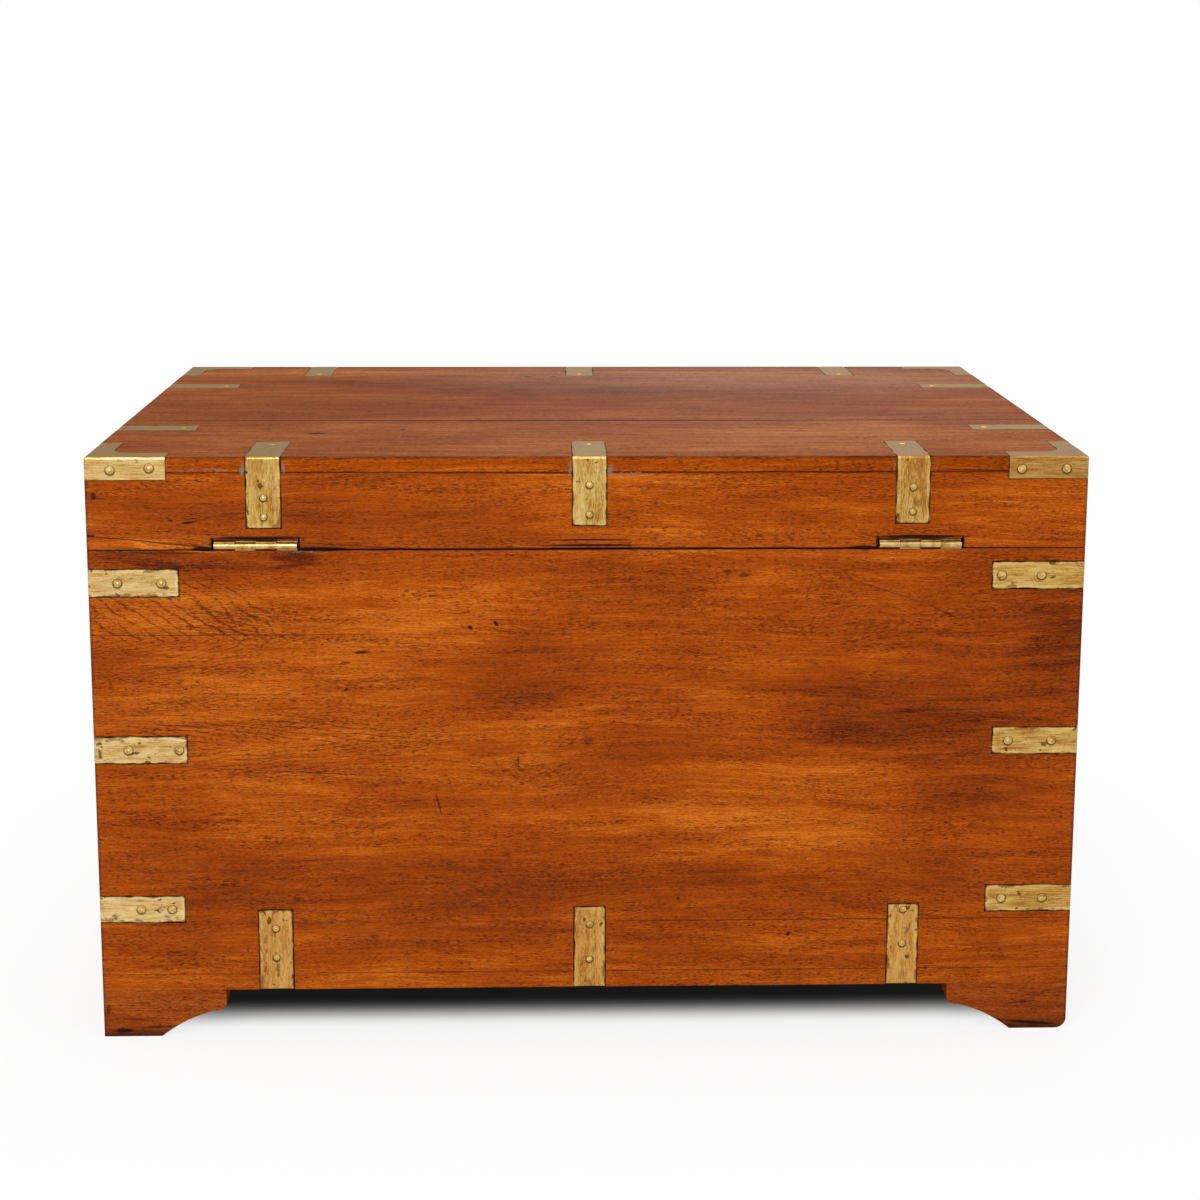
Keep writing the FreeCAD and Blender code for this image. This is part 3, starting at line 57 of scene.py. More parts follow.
# The chest's own planes.
HALF_W = 460 * MM
HALF_D = 295 * MM
CASE_FOOT = 46 * MM
CASE_RIM = 473 * MM
LID_TOP = 560 * MM
BOARD = 19 * MM
LID_BOARD = 16 * MM
LID_GAP = 0.8 * MM

# The brass strip: its thickness, how far it stands proud, the radius of its bends, where a bend
# begins, the spacing of its mesh, and how near a plane a point counts as on it.
STRIP = 1.6 * MM
PROUD = 0.15 * MM
BEND = 2.5 * MM
TURN_AT = PROUD - BEND
CELL = 2.6 * MM
NEAR = 0.01 * MM


# ---- Small tools -----------------------------------------------------------------------------
def linear(hex_colour):
    """An sRGB hex colour as the linear RGBA that Blender's sockets take."""
    parts = [int(hex_colour[i : i + 2], 16) / 255 for i in (1, 3, 5)]
    return [c / 12.92 if c <= 0.04045 else ((c + 0.055) / 1.055) ** 2.4 for c in parts] + [1.0]


def per_mm(*sizes):
    """The scale at which a pattern of unit size takes these sizes in millimetres."""
    return [1 / (size * MM) for size in sizes]


def link(node, links):
    """Links sockets to a node's inputs. A node in place of a socket stands for its first output."""
    for key, source in links.items():
        socket = source.outputs[0] if isinstance(source, bpy.types.Node) else source
        node.id_data.links.new(socket, node.inputs[key])


def add_node(tree, kind, links=None, inputs=None, stops=(), **settings):
    """Adds a node: its settings, its inputs' values, what is linked to them, and its colour stops.

    A kind with a dot, such as Math.ADD, says its operation too."""
    kind, _, operation = kind.partition(".")
    made = tree.nodes.new("ShaderNode" + kind)
    if operation:
        made.operation = operation
    for name, value in settings.items():
        setattr(made, name, value)
    for key, value in (inputs or {}).items():
        made.inputs[key].default_value = value
    link(made, links or {})
    for number, (at, colour) in enumerate(stops):
        element = made.color_ramp.elements[number] if number < 2 else made.color_ramp.elements.new(at)
        element.position = at
        element.color = linear(colour) if isinstance(colour, str) else colour
    return made


def span(low, high, start=0.0, end=1.0):
    """The values for a share that goes from start to end while another goes from low to high."""
    return {"From Min": low, "From Max": high, "To Min": start, "To Max": end}


def new_material(name, inputs):
    """A new material, what adds a node to it, its shader, and the piece's own place."""
    material = bpy.data.materials.new(name)
    material.use_nodes = True
    material.node_tree.nodes.clear()
    add = partial(add_node, material.node_tree)
    shader = add("BsdfPrincipled", inputs=inputs)
    add("OutputMaterial", {"Surface": shader})
    return material, add, shader, add("TexCoord").outputs["Object"]


def dress(material, *names):
    """Gives CAD nodes a material in place of the one they came with."""
    for name in names:
        slots = NODES[name].data.materials
        slots.clear()
        slots.append(material)


def named(*starts):
    """The CAD nodes whose names begin so."""
    return [name for name in NODES if name.startswith(starts)]


def deselect():
    for each in bpy.context.selected_objects:
        each.select_set(False)


def pick(mesh, wanted):
    """Selects the points of a mesh in edit mode by their place."""
    bpy.ops.object.mode_set(mode="OBJECT")
    for face in mesh.polygons:
        face.select = False
    for point in mesh.vertices:
        point.select = wanted(point.co)
    for edge in mesh.edges:
        edge.select = all(mesh.vertices[end].select for end in edge.vertices)
    bpy.ops.object.mode_set(mode="EDIT")


# ---- What a user would change ----------------------------------------------------------------
def tint(name, description, colour):
    """A colour that a user would change."""
    return bpy.props.FloatVectorProperty(
        name=name, description=description, subtype="COLOR", size=3, min=0, max=1, default=linear(colour)[:3]
    )


class ChestWood(bpy.types.PropertyGroup):
    """The teak's colours and grain"""

    polished: tint("Polished teak", "Colour of the waxed faces, between their streaks", "#A24602")
    faded: tint("Faded teak", "Colour of the lid's top, between its streaks", "#8B4414")
    worn: tint("Worn teak", "Colour of the feet, between their streaks", "#954008")
    bare: tint("Bare teak", "Colour of the unpolished wood inside and underneath", "#8C5E38")
    pore: bpy.props.FloatProperty(
        name="Pore length", description="Length of the open pores along the grain", subtype="DISTANCE",
        unit="LENGTH", default=5 * MM, min=1 * MM, max=30 * MM,
    )


class ChestBrass(bpy.types.PropertyGroup):
    """The brass straps' colours and wear"""

    pale: tint("Pale brass", "Colour of the straps and brackets at the left corners", "#D6B272")
    rubbed: tint("Rubbed brass", "Colour of the straps round the right corners and on the lid", "#C8A25A")
    dulled: tint("Dulled brass", "Colour of the lid's brackets at the right corners", "#B28848")
    browned: tint("Browned brass", "Colour of the straps under the bottom edges", "#C4904A")
    waver: bpy.props.FloatProperty(
        name="Edge waver", description="How far the hand-cut edges of a strap wander", subtype="DISTANCE",
        unit="LENGTH", default=3.0 * MM, min=0, max=4 * MM,
    )
    buckle: bpy.props.FloatProperty(
        name="Buckle", description="How uneven a strap's hammered face is", subtype="DISTANCE",
        unit="LENGTH", default=0.4 * MM, min=0, max=1 * MM,
    )


class ChestStage(bpy.types.PropertyGroup):
    """The studio's floor and lamps"""

    floor: tint("Floor", "Colour of the studio's floor", "#F2F2F2")
    level: bpy.props.FloatProperty(
        name="Lamps", description="Level of all the lamps together", subtype="FACTOR", default=1.0, min=0,
        max=2,
    )


# ---- Teak ------------------------------------------------------------------------------------
# Streaks of the teak: sizes along and across the grain in mm, detail, and how much each counts.
STREAKS = (
    ((430, 60, 60), 2, 0.5),
    ((180, 10, 10), 4, 0.58),
    ((80, 2.4, 2.4), 3, 0.52),
    ((22, 0.8, 0.8), 2, 0.6),
    ((140, 85, 85), 3, 0.45),
    ((2.8, 0.8, 0.8), 2, 0.62),
)

# The darkest and lightest streaks, as shares of the middle colour's red, green and blue.
DARK_STREAK = (0.26, 0.18, 0.12)
LIGHT_STREAK = (1.98, 3.2, 5.0)

# How wide a pore is drawn, in mm, and how much of the wood's colour it hides.
PORE_WIDTH = 0.7
PORE_DEPTH = 0.68

# How deep a mark or stain of one face reaches into the wood, in mm.
SKIN = 6

# Patches on the rear face, in mm: place along X, height, half length, half height, slope in
# degrees, how much lighter or darker (minus), and how soft the edge is.
REAR_STAINS = (
    (70, 357, 60, 33, -4, -0.27, 0.9),
    (-42, 270, 38, 66, 70, -0.17, 0.8),
    (-128, 160, 34, 13, 4, -0.18, 0.8),
    (-245, 296, 52, 13, 3, -0.18, 0.8),
    (-232, 343, 60, 10, 0, -0.12, 0.9),
    (-405, 290, 105, 185, 0, -0.13, 0.3),
    (-440, 395, 34, 60, 0, -0.20, 0.8),
    (445, 366, 42, 22, 0, -0.16, 0.9),
    (412, 210, 52, 14, 0, -0.15, 0.9),
    (266, 463, 11, 9, 0, -0.3, 0.8),
    (345, 454, 60, 8, 0, -0.16, 0.9),
    (330, 500, 90, 22, 0, -0.05, 0.9),
    (30, 459, 460, 12, 0, -0.10, 0.9),
    (255, 310, 215, 100, 0, 0.08, 0.9),
    (-200, 215, 95, 60, 0, 0.11, 0.9),
    (-103, 338, 34, 7, 3, 0.2, 0.9),
    (-60, 140, 400, 40, 0, -0.06, 0.9),
    (0, 553, 470, 7, 0, -0.05, 0.6),
    (408, 478.5, 46, 3.6, 3, 0.22, 0.5),
    (395, 462, 62, 7, 0, -0.2, 0.9),
    (-310, 340, 130, 90, 0, -0.10, 0.9),
    (200, 150, 270, 65, 0, -0.12, 0.9),
    (-70, 412, 130, 50, 0, -0.08, 0.9),
)

# What covers the wood: wax in its pores, a dusty grey film on the lid that is partly a painted sheen, grime
# with painted shade, and wax gone grey.
PORE_WAX = "#2E0E05"
DUST_AND_SHEEN = "#B4A498"
DIRT_AND_SHADE = "#1C0D08"
GREY_WAX = "#75776E"

# How far off a board a mark of its face still reaches it, in mm, and a stain, in its half sizes.
MARK_REACH = 12
REAR_STAIN_REACH = 1.8
TOP_STAIN_REACH = 1.9
MARK_SOFTNESS = 0.35

# Arched figure on the rear face, in mm. Its lines point away from the left corner and open towards
# it: the height of their points, how far a line runs back for each mm it climbs and for each mm it
# drops, and the run between two lines. Then the middle and the half sizes of the figure.
REAR_ARCHES = ((389, 1.5, 4.5, 17, 392, 404, 100, 52), (290, 9.0, 11.0, 44, 300, 286, 165, 34))

# Cracks, joints, dents and painted shadow in the hinges' notches on the rear face, in mm: place along X,
# height, half length, half width, slope in degrees and depth of colour.
REAR_MARKS = (
    (110, 399.6, 2.4, 1.8, 30, 0.95),
    (86, 403, 3.0, 1.7, 50, 0.95),
    (-20, 283, 7, 0.6, -65, 0.4),
    (0.5, 288.4, 4.0, 3.8, 0, 0.5),
    (140.5, 229, 10.5, 0.8, 77, 0.8),
    (66, 269, 6.5, 0.8, 88, 0.7),
    (211, 376, 7, 1.4, -5, 0.9),
    (226, 366, 5, 0.9, -3, 0.7),
    (225, 340.5, 2.5, 1.5, -40, 0.8),
    (-127, 452, 3.5, 1.4, 0, 0.7),
    (-143, 448, 5, 1.7, -5, 0.7),
    (-85, 134, 1.6, 1.3, 0, 0.8),
    (-190, 97.6, 2.4, 1.7, -40, 0.9),
    (273, 261, 100, 0.5, 3.0, 0.65),
    (366.5, 499, 7, 1.2, -8, 0.9),
    (383, 501, 2.4, 1.0, 0, 0.8),
    (401, 481, 58, 0.7, 5.7, 0.75),
    (215, 477, 50, 0.6, 3.8, 0.6),
    (-415, 26.5, 15, 0.6, -5, 0.8),
    (430, 17, 14, 1.0, 3, 0.5),
    (404, 9.5, 20, 1.3, -2, 0.6),
    (441, 6, 9, 2.2, 0, 0.6),
    (-425, 6, 22, 1.5, 4, 0.65),
    (-391, 10, 8, 1.2, 20, 0.6),
    (455, 27, 2.2, 5, 0, 0.6),
    (330, 214, 2.4, 1.2, 0, 0.7),
    (345, 393, 115, 0.5, 0, 0.55),
    (-240, 112, 230, 0.5, 0, 0.55),
    (0, 62, 470, 0.5, 0, 0.5),
    (0, 46, 470, 0.5, 0, 0.4),
    (-272, 434, 45, 0.7, 18, 0.45),
    (-329, 413, 17, 0.7, 27, 0.5),
    (-290, 347, 60, 0.5, -3, 0.35),
    (-330, 318, 50, 0.5, -2, 0.5),
    (0, 545.4, 470, 0.9, 0, 0.8),
    (-380, 546.5, 60, 0.8, 0.6, 0.6),
    (0, 473.6, 470, 1.3, 0, 0.9),
    (405, 471.6, 52, 1.6, 1.2, 0.6),
    (247, 474.2, 22, 2.2, 0, 1.0),
    (354, 474.6, 10, 2.2, 0, 1.0),
    (-254, 474.0, 14, 1.8, 0, 0.9),
    (-2, 482.0, 40, 0.8, 0, 0.9),
    (-2, 477.0, 46, 0.95, 0.1, 1.0),
    # Painted shadow in the hinges' notches: along their tops and down their sides.
    (306, 484.4, 42, 1.6, 0, 1.0),
    (-306, 484.4, 42, 1.5, 0, 1.0),
    (345.6, 479, 1.5, 6, 0, 1.0),
    (266.4, 479, 1.5, 6, 0, 1.0),
    (-266.4, 479, 1.5, 6, 0, 1.0),
    (-345.6, 479, 1.5, 6, 0, 1.0),
    (452, 524, 2.4, 3.5, 0, 0.8),
    (455, 487, 3.5, 1.5, 0, 0.7),
)

# Old grey wax on the rear face, in the same measures.
REAR_WAX = (
    (352, 547.6, 40, 1.6, 0, 0.5, 0.9),
    (316.5, 549, 1.6, 8, 0, 0.7, 0.9),
    (279.5, 550, 1.6, 7, 0, 0.7, 0.9),
    (17.5, 549, 1.6, 7, 0, 0.75, 0.9),
    (-19, 548, 3.4, 4, 0, 0.75, 0.9),
    (-40, 544.2, 22, 1.0, 0, 0.6, 0.9),
    (-280, 550, 1.4, 7, 0, 0.5, 0.9),
    (-319, 550, 1.4, 7, 0, 0.5, 0.9),
    (459, 500, 1.4, 14, 0, 0.4, 0.9),
    (425, 472.6, 34, 1.1, 0, 0.45, 0.9),
    (262, 471.4, 20, 1.0, 0, 0.5, 0.9),
)

# The rear's boards, from each one's lowest node to its highest.
REAR_BOARDS = {
    "floor boards": ("bottom_board_rear", "bottom_board_front"),
    "lower plank": ("rear_plank_lower",),
    "middle plank": ("rear_plank_middle",),
    "upper plank": ("rear_plank_upper",),
    "lid rim": ("lid_rim_rear",),
}

# Between which heights in mm the slip, the lid's edge and the feet take the rear face's wear.
SLIP_FACE = (474, 482)
LID_EDGE = (544, 560)
FOOT_FACE = (2, 34)

# Joints and marks on the lid's top, in mm: place along X and Y, half sizes, turn and depth.
LID_JOINT = 95
TOP_MARKS = (
    (0, LID_JOINT, 470, 2.6, 0, 0.9),
    (262, 170, 9, 3.6, 0, 0.9),
    (180, 150, 3, 3, 0, 0.7),
    (222, 40, 3, 3, 0, 0.5),
    (60, -210, 5, 5, 0, 0.6),
    (30, -212, 3, 3, 0, 0.6),
)

# Patches on the lid's top, and its dusty grey film, partly a painted sheen, in the same measures, with how
# soft the edge is.
TOP_STAINS = (
    (60, -245, 330, 22, 0, 0.14, 0.9),
    (40, -140, 260, 60, 0, -0.16, 0.9),
    (0, 20, 420, 40, 0, -0.08, 0.9),
    (-230, 195, 190, 80, 0, 0.2, 0.9),
    (0, -60, 300, 60, 0, -0.12, 0.9),
    (-300, -180, 150, 60, 0, 0.12, 0.9),
)
LID_DUST_AND_SHEEN = ((-200, -205, 300, 110, 0, 0.2, 0.9), (-230, 60, 260, 120, 0, 0.05, 0.9))

NO_WEAR = {"stains": (), "marks": (), "wax": (), "arches": ()}


def reaching(rows, low, high, beyond=0.0, half_sizes=0.0):
    """The rows of a table that lie on a board, or so many mm and so many half sizes off it."""
    reaches = [(row, beyond + row[3] * half_sizes) for row in rows]
    return [row for row, reach in reaches if low - reach < row[1] < high + reach]


def rear_wear(low, high):
    """The rear face's wear that reaches a board between two heights in mm."""
    return {
        "stains": reaching(REAR_STAINS, low, high, half_sizes=REAR_STAIN_REACH),
        "marks": reaching(REAR_MARKS, low, high, MARK_REACH),
        "wax": reaching(REAR_WAX, low, high, MARK_REACH),
        "arches": [row for row in REAR_ARCHES if low < row[5] + row[7] and row[5] - row[7] < high],
    }


def top_wear(low, high):
    """The wear of the lid's top between two distances from its middle in mm."""
    stains = reaching(TOP_STAINS, low, high, half_sizes=TOP_STAIN_REACH)
    return {**NO_WEAR, "stains": stains, "marks": reaching(TOP_MARKS, low, high, MARK_REACH)}


def patches(add, place, rows, total=None, on_top=False):
    """Adds soft-edged ellipses of light or dark to a tone, on the rear face or on the lid's top."""
    for along, across, half_run, half_rise, slope, strength, soft in rows:
        turn = math.radians(slope)
        if on_top:
            centre, size, turned = (along, across, LID_TOP / MM), (half_run, half_rise, SKIN), (0, 0, turn)
        else:
            centre, size, turned = (along, HALF_D / MM, across), (half_run, SKIN, half_rise), (0, -turn, 0)
        spot = add(
            "Mapping", {"Vector": place},
            {"Location": Vector(centre) * MM, "Rotation": turned, "Scale": Vector(size) * MM},
            vector_type="TEXTURE",
        )
        far = add("VectorMath.LENGTH", {0: spot}).outputs["Value"]
        fade = span(1 - soft, 1 + soft, strength, 0.0)
        cover = add("MapRange", {"Value": far}, fade, interpolation_type="SMOOTHSTEP")
        total = add("Math.ADD", {0: total, 1: cover}) if total else cover
    return total


def clouded(add, place, size, detail, roughness=0.5, start=(0, 0, 0)):
    """Soft clouds of the given sizes in mm, which start at another place for another pattern."""
    laid = add("Mapping", {"Vector": place}, {"Scale": per_mm(*size), "Location": start})
    return add("TexNoise", {"Vector": laid}, {"Scale": 1.0, "Detail": detail, "Roughness": roughness})


def layered(add, place, layers):
    """A tone of about 0.5 from layers of clouds, each with its sizes in mm, detail and weight."""
    tone = None
    start = 0.5 - 0.5 * sum(weight for _, _, weight in layers)
    for size, detail, weight in layers:
        links = {0: clouded(add, place, size, detail, 0.6)}
        if tone:
            links[2] = tone
        tone = add("Math.MULTIPLY_ADD", links, {1: weight, 2: start})
    return tone


def wander(add, place, size, reach):
    """Coordinates that wander by up to reach mm either way, in waves of the given sizes in mm."""
    noise = clouded(add, place, size, 2.0).outputs["Color"]
    off = add("VectorMath.SUBTRACT", {0: noise}, {1: (0.5, 0.5, 0.5)})

    # Noise seldom leaves its middle by more than a quarter.
    reach = [way * MM / 0.25 for way in reach]
    return add("VectorMath.MULTIPLY_ADD", {0: off, 2: place}, {1: reach})


def shades(middle):
    """Five colours of one teak: its darkest streak, its middle colour, its lightest, and between."""
    dark = [part * share for part, share in zip(middle, DARK_STREAK)]
    light = [min(1.0, part * share + 0.01) for part, share in zip(middle, LIGHT_STREAK)]
    halves = [[(a + b) / 2 for a, b in zip(middle, end)] for end in (dark, light)]
    colours = (dark, halves[0], middle, halves[1], light)
    return [(place / 4, (*colour, 1.0)) for place, colour in enumerate(colours)]


def arched(add, place, arches):
    """The lines of the arched figure, where a growth ring runs out of the board."""
    swayed = wander(add, place, (45, 30, 20), (7, 0, 3))
    split = add("SeparateXYZ", {0: swayed}).outputs
    total = None
    for points, climb, drop, gap, *middle_and_size in arches:
        above = add("Math.SUBTRACT", {0: split[2]}, {1: points * MM})
        run = split[0]
        for side, slant in (("MAXIMUM", -climb), ("MINIMUM", drop)):
            part = add("Math." + side, {0: above}, {1: 0.0})
            run = add("Math.MULTIPLY_ADD", {0: part, 2: run}, {1: slant})
        wave = add("Math.MULTIPLY", {0: run}, {1: 2 * math.pi / (gap * MM)})
        wave = add("Math.SINE", {0: wave})
        line = add("MapRange", {"Value": wave}, span(0.66, 1.0))
        links = {0: line, 1: patches(add, place, [(*middle_and_size, 0, 1.0, 0.4)])}
        if total:
            links[2] = total
        total = add("Math.MULTIPLY_ADD", links, {2: 0.0})
    return total


def pored(add, bent, lines):
    """Open pores, filled with old wax: short dark dashes. They crowd together in bands, and along the
    lines of the arched figure. Real ones are 0.3 mm wide, and these are wider, so that they show."""
    length = bpy.context.scene.chest_wood.pore / MM
    found = clouded(add, bent, (length, PORE_WIDTH, PORE_WIDTH), 1.5)
    crowd = clouded(add, bent, (90, 12, 12), 2.0)
    for where, share in ((crowd, 0.35), (lines, 0.17)):
        if where:
            found = add("Math.MULTIPLY_ADD", {0: where, 2: found}, {1: share})
    return add("MapRange", {"Value": found}, span(0.74, 0.83, 0.0, PORE_DEPTH))


def depths(add, place):
    """How deep a point lies inside the chest's outer box: past its nearest side, past its nearest
    face, past the second nearest, which is small along an arris, and below its top. Then its height."""
    folded = add("VectorMath.ABSOLUTE", {0: place})
    split = add("SeparateXYZ", {0: folded}).outputs
    in_x, in_y, in_z = (
        add("Math.SUBTRACT", {1: split[way]}, {0: face})
        for way, face in enumerate((HALF_W, HALF_D, LID_TOP))
    )
    sides = add("Math.MINIMUM", {0: in_x, 1: in_y})
    farther = add("Math.MAXIMUM", {0: in_x, 1: in_y})
    nearest = add("Math.MINIMUM", {0: sides, 1: in_z})
    second = add("Math.MINIMUM", {0: farther, 1: in_z})
    second = add("Math.MAXIMUM", {0: sides, 1: second})
    return sides, nearest, second, in_z, split[2]


def coated(add, colour, coats):
    """A colour with coats over it, each where its share is."""
    for share, over in coats:
        links, inputs = {0: share, 6: colour}, {}
        if isinstance(over, str):
            inputs[7] = linear(over)
        else:
            links[7] = over
        colour = add("Mix", links, inputs, data_type="RGBA").outputs[2]
    return colour


def dirt_and_shade_share(add, place, inside, rear, top, toe, seams):
    """The share of grime and painted shade: grime with painted shade in the recesses, but not between the
    case and the lid, painted shade along the arrises, grime in seams and marks, with painted shadow in the
    hinges' notches, and grime on the toes of the feet."""
    _, nearest, _, _, height = inside
    # Grime with painted shade in the recesses, from half a millimetre to 4 mm deep.
    dirt_and_shade = add("MapRange", {"Value": nearest}, span(0.5 * MM, 0.9 * MM))
    shallow = add("Math.LESS_THAN", {0: nearest}, {1: 4 * MM})
    joint = add("Math.COMPARE", {0: height}, {1: CASE_RIM + LID_GAP / 2, 2: LID_GAP * 0.7})
    off_joint = add("Math.SUBTRACT", {1: joint}, {0: 1.0})
    for where in (shallow, off_joint):
        dirt_and_shade = add("Math.MINIMUM", {0: dirt_and_shade, 1: where})

    # Painted shade along the arrises, with a ragged edge.
    _, _, second, _, height = depths(add, wander(add, place, (9, 9, 9), (0.8, 0.8, 0.8)))
    darker = [add("MapRange", {"Value": second}, span(0.6 * MM, 3.0 * MM, 0.55, 0.0))]
    if toe:
        darker.append(add("MapRange", {"Value": height}, span(0.0, 11 * MM, toe, 0.0)))
    outside = add("Math.LESS_THAN", {0: nearest}, {1: 0.4 * MM})
    for seam in seams:
        off = add("Math.SUBTRACT", {0: height}, {1: seam * MM})
        off = add("Math.ABSOLUTE", {0: off})
        line = add("MapRange", {"Value": off}, span(0.5 * MM, 1.5 * MM, 0.85, 0.0))
        darker.append(add("Math.MINIMUM", {0: line, 1: outside}))
    for other in darker:
        dirt_and_shade = add("Math.MAXIMUM", {0: other, 1: dirt_and_shade})
    if rear["marks"] or top["marks"]:
        shaky = wander(add, place, (35, 20, 20), (0.4, 0.4, 0.4))
        for wear, on_top in ((rear, False), (top, True)):
            dirt_and_shade = patches(add, shaky, [(*row, MARK_SOFTNESS) for row in wear["marks"]], dirt_and_shade, on_top)
    return add("Math.MINIMUM", {0: dirt_and_shade}, {1: 1.0})


def grey_wax(add, place, rows):
    """The share of old wax that has gone grey, in flecks."""
    film = patches(add, wander(add, place, (4, 4, 4), (1.2, 1.2, 1.2)), rows)
    fleck = clouded(add, place, (1.8, 1.2, 1.2), 2.0)
    film = add("Math.MULTIPLY_ADD", {0: fleck, 2: film}, {1: 1.2})
    return add("MapRange", {"Value": film}, span(0.95, 1.3, 0.0, 0.8))


def teak(
    board, middle, turn=0.0, shift=(0, 0, 0), rear=NO_WEAR, top=NO_WEAR, toe=0.0, sunned=None, seams=()
):
    """Teak boards, planed, stained and waxed: streaks and open pores along the grain, dark grime in the
    joints, grime and painted shade in the recesses, painted shade along the arrises, and a weak, soft gloss
    from the thin wax."""
    gloss = {"Roughness": 0.5, "Coat Weight": 0.1 if sunned else 0.14, "Coat Roughness": 0.3}
    material, add, shader, place = new_material("Waxed teak, " + board, {"Specular IOR Level": 0.0, **gloss})
    lay = add("Mapping", {"Vector": place}, {"Rotation": (0, 0, turn), "Location": shift})
    bent = wander(add, lay, (280, 90, 90), (0, 8, 8))
    tone = layered(add, bent, STREAKS)
    if rear["stains"] or top["stains"]:
        blurred = wander(add, place, (60, 7, 7), (22, 0, 8))
        for wear, on_top in ((rear, False), (top, True)):
            tone = patches(add, blurred, wear["stains"], tone, on_top)
    lines = arched(add, place, rear["arches"]) if rear["arches"] else None
    pores = pored(add, bent, lines)
    if lines:
        tone = add("Math.MULTIPLY_ADD", {0: lines, 2: tone}, {1: -0.03})
    colour = add("ValToRGB", {"Fac": tone}, stops=shades(middle))
    inside = depths(add, place)
    sides, _, _, in_z, _ = inside
    if sunned:
        pale = add("ValToRGB", {"Fac": tone}, stops=shades(sunned))
        # A dusty grey film on the lid's top, partly a painted sheen.
        dust_and_sheen = patches(add, wander(add, place, (120, 60, 60), (30, 30, 0)), LID_DUST_AND_SHEEN, on_top=True)
        upper = add("Math.LESS_THAN", {0: in_z}, {1: 0.4 * MM})
        colour = coated(add, colour, [(upper, coated(add, pale, [(dust_and_sheen, DUST_AND_SHEEN)]))])

    # Inside and underneath the wood is bare: it was never stained or polished.
    within = add("Math.GREATER_THAN", {0: sides}, {1: BOARD - 0.2 * MM})
    below = add("Math.GREATER_THAN", {0: in_z}, {1: LID_BOARD - 0.2 * MM})
    bare = add("Math.MINIMUM", {0: within, 1: below})
    dry = add("ValToRGB", {"Fac": tone}, stops=shades(bpy.context.scene.chest_wood.bare))
    # Grime, with painted shade in the recesses, along the arrises and in the hinges' notches.
    dirt_and_shade = dirt_and_shade_share(add, place, inside, rear, top, toe, seams)
    coats = [(bare, dry), (pores, PORE_WAX), (dirt_and_shade, DIRT_AND_SHADE)]
    if rear["wax"]:
        coats.append((grey_wax(add, place, rear["wax"]), GREY_WAX))
    relief = tone
    for hollow, depth in ((pores, -0.9), (dirt_and_shade, -1.0)):
        relief = add("Math.MULTIPLY_ADD", {0: hollow, 2: relief}, {1: depth})
    bump = add("Bump", {"Height": relief}, {"Strength": 0.6, "Distance": 0.3 * MM})
    link(shader, {"Base Color": coated(add, colour, coats), "Normal": bump, "Coat Normal": bump})
    return material


class CHEST_OT_teak(bpy.types.Operator):
    """Gives every board, foot and block its teak"""

    bl_idname = "chest.teak"
    bl_label = "Teak boards"

    def execute(self, context):
        wood = context.scene.chest_wood
        turn = math.radians(90)
        for board, names in REAR_BOARDS.items():
            low, high = (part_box(names[edge])[edge].z / MM for edge in (0, -1))
            dress(teak("rear " + board, wood.polished, rear=rear_wear(low, high)), *names)
        lid_seams = ((CASE_RIM + LID_GAP / 2) / MM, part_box("lid_top_board_rear")[0].z / MM)
        front_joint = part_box("front_plank_lower")[1].z / MM
        front = teak("front planks", wood.polished, shift=(3, 0, 0.1), seams=(*lid_seams, front_joint))
        dress(front, *named("front_plank", "lid_rim_front"))
        end_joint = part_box("left_plank_lower")[1].z / MM
        ends = teak("end planks", wood.polished, turn, (0, 2, 0.2), seams=(*lid_seams, end_joint))
        dress(ends, *named("left_plank", "right_plank", "lid_rim_left", "lid_rim_right"))
        half_depth = HALF_D / MM
        for side, rear, low, high in (
            ("rear", rear_wear(*LID_EDGE), LID_JOINT, half_depth), ("front", NO_WEAR, -half_depth, LID_JOINT),
        ):
            board = teak(
                f"lid's {side} board", wood.polished, shift=(0, 5, 0.4), sunned=wood.faded, rear=rear,
                top=top_wear(low, high),
            )
            dress(board, "lid_top_board_" + side)
        slip = teak("slip in the old mortise", wood.polished, shift=(2, 1, 0.7), rear=rear_wear(*SLIP_FACE))
        dress(slip, "hinge_mortise_patch")
        feet = teak("bracket feet", wood.worn, shift=(1, 1, 0.3), rear=rear_wear(*FOOT_FACE), toe=0.85)
        short_feet = teak("end bracket feet", wood.worn, turn, (1, 3, 0.3), toe=0.8)
        for name in named("foot"):
            dress(short_feet if name.endswith("short") else feet, name)
        return {"FINISHED"}


# ---- Brass strip -----------------------------------------------------------------------------
# Old brass stays brown at a glancing view, where new metal goes white.
GLANCING_BRASS = "#BCA474"

# What darkens brass: tarnish, darker specks of it, dark wax with painted shade round its pins and along its
# rims, and a browner film on the lid's top.
TARNISH = "#74401A"
SPECKS = "#4A2A10"
BRASS_WAX_AND_SHADE = "#2C1B0C"
TOP_FILM = "#66502C"

# Half the width of a pin's head.
CORNER_PIN = 3.8 * MM
EDGE_PIN = 3.0 * MM

# How far the dark ring round a pin lies below the pin's middle, so that its lower side is a painted shadow
# below the head.
PIN_SHADOW_DROP = 0.6 * MM

# How far apart the slices lie that the straps take of one pattern, in metres.
SLICE = 0.37

# Layers of the strip's tone under and over its scratches, as for STREAKS. Then the scratches' width.
MOTTLE = ((34, 7, 7), 3, 0.8)
PITTING = ((2.4, 2.2, 2.2), 3, 0.3)
SCRATCH_WIDTH = 0.9

# What shows near a strap's rim: from and to how far in, in mm, and how much of it at the rim. The wax there
# is dark wax with painted shade of the joint round the strap.
NEAR_RIM = {"rubbed": (1.8, 4.0, 0.14), "tarnish": (0.0, 4.0, 0.14), "wax": (0.35, 1.1, 0.85)}

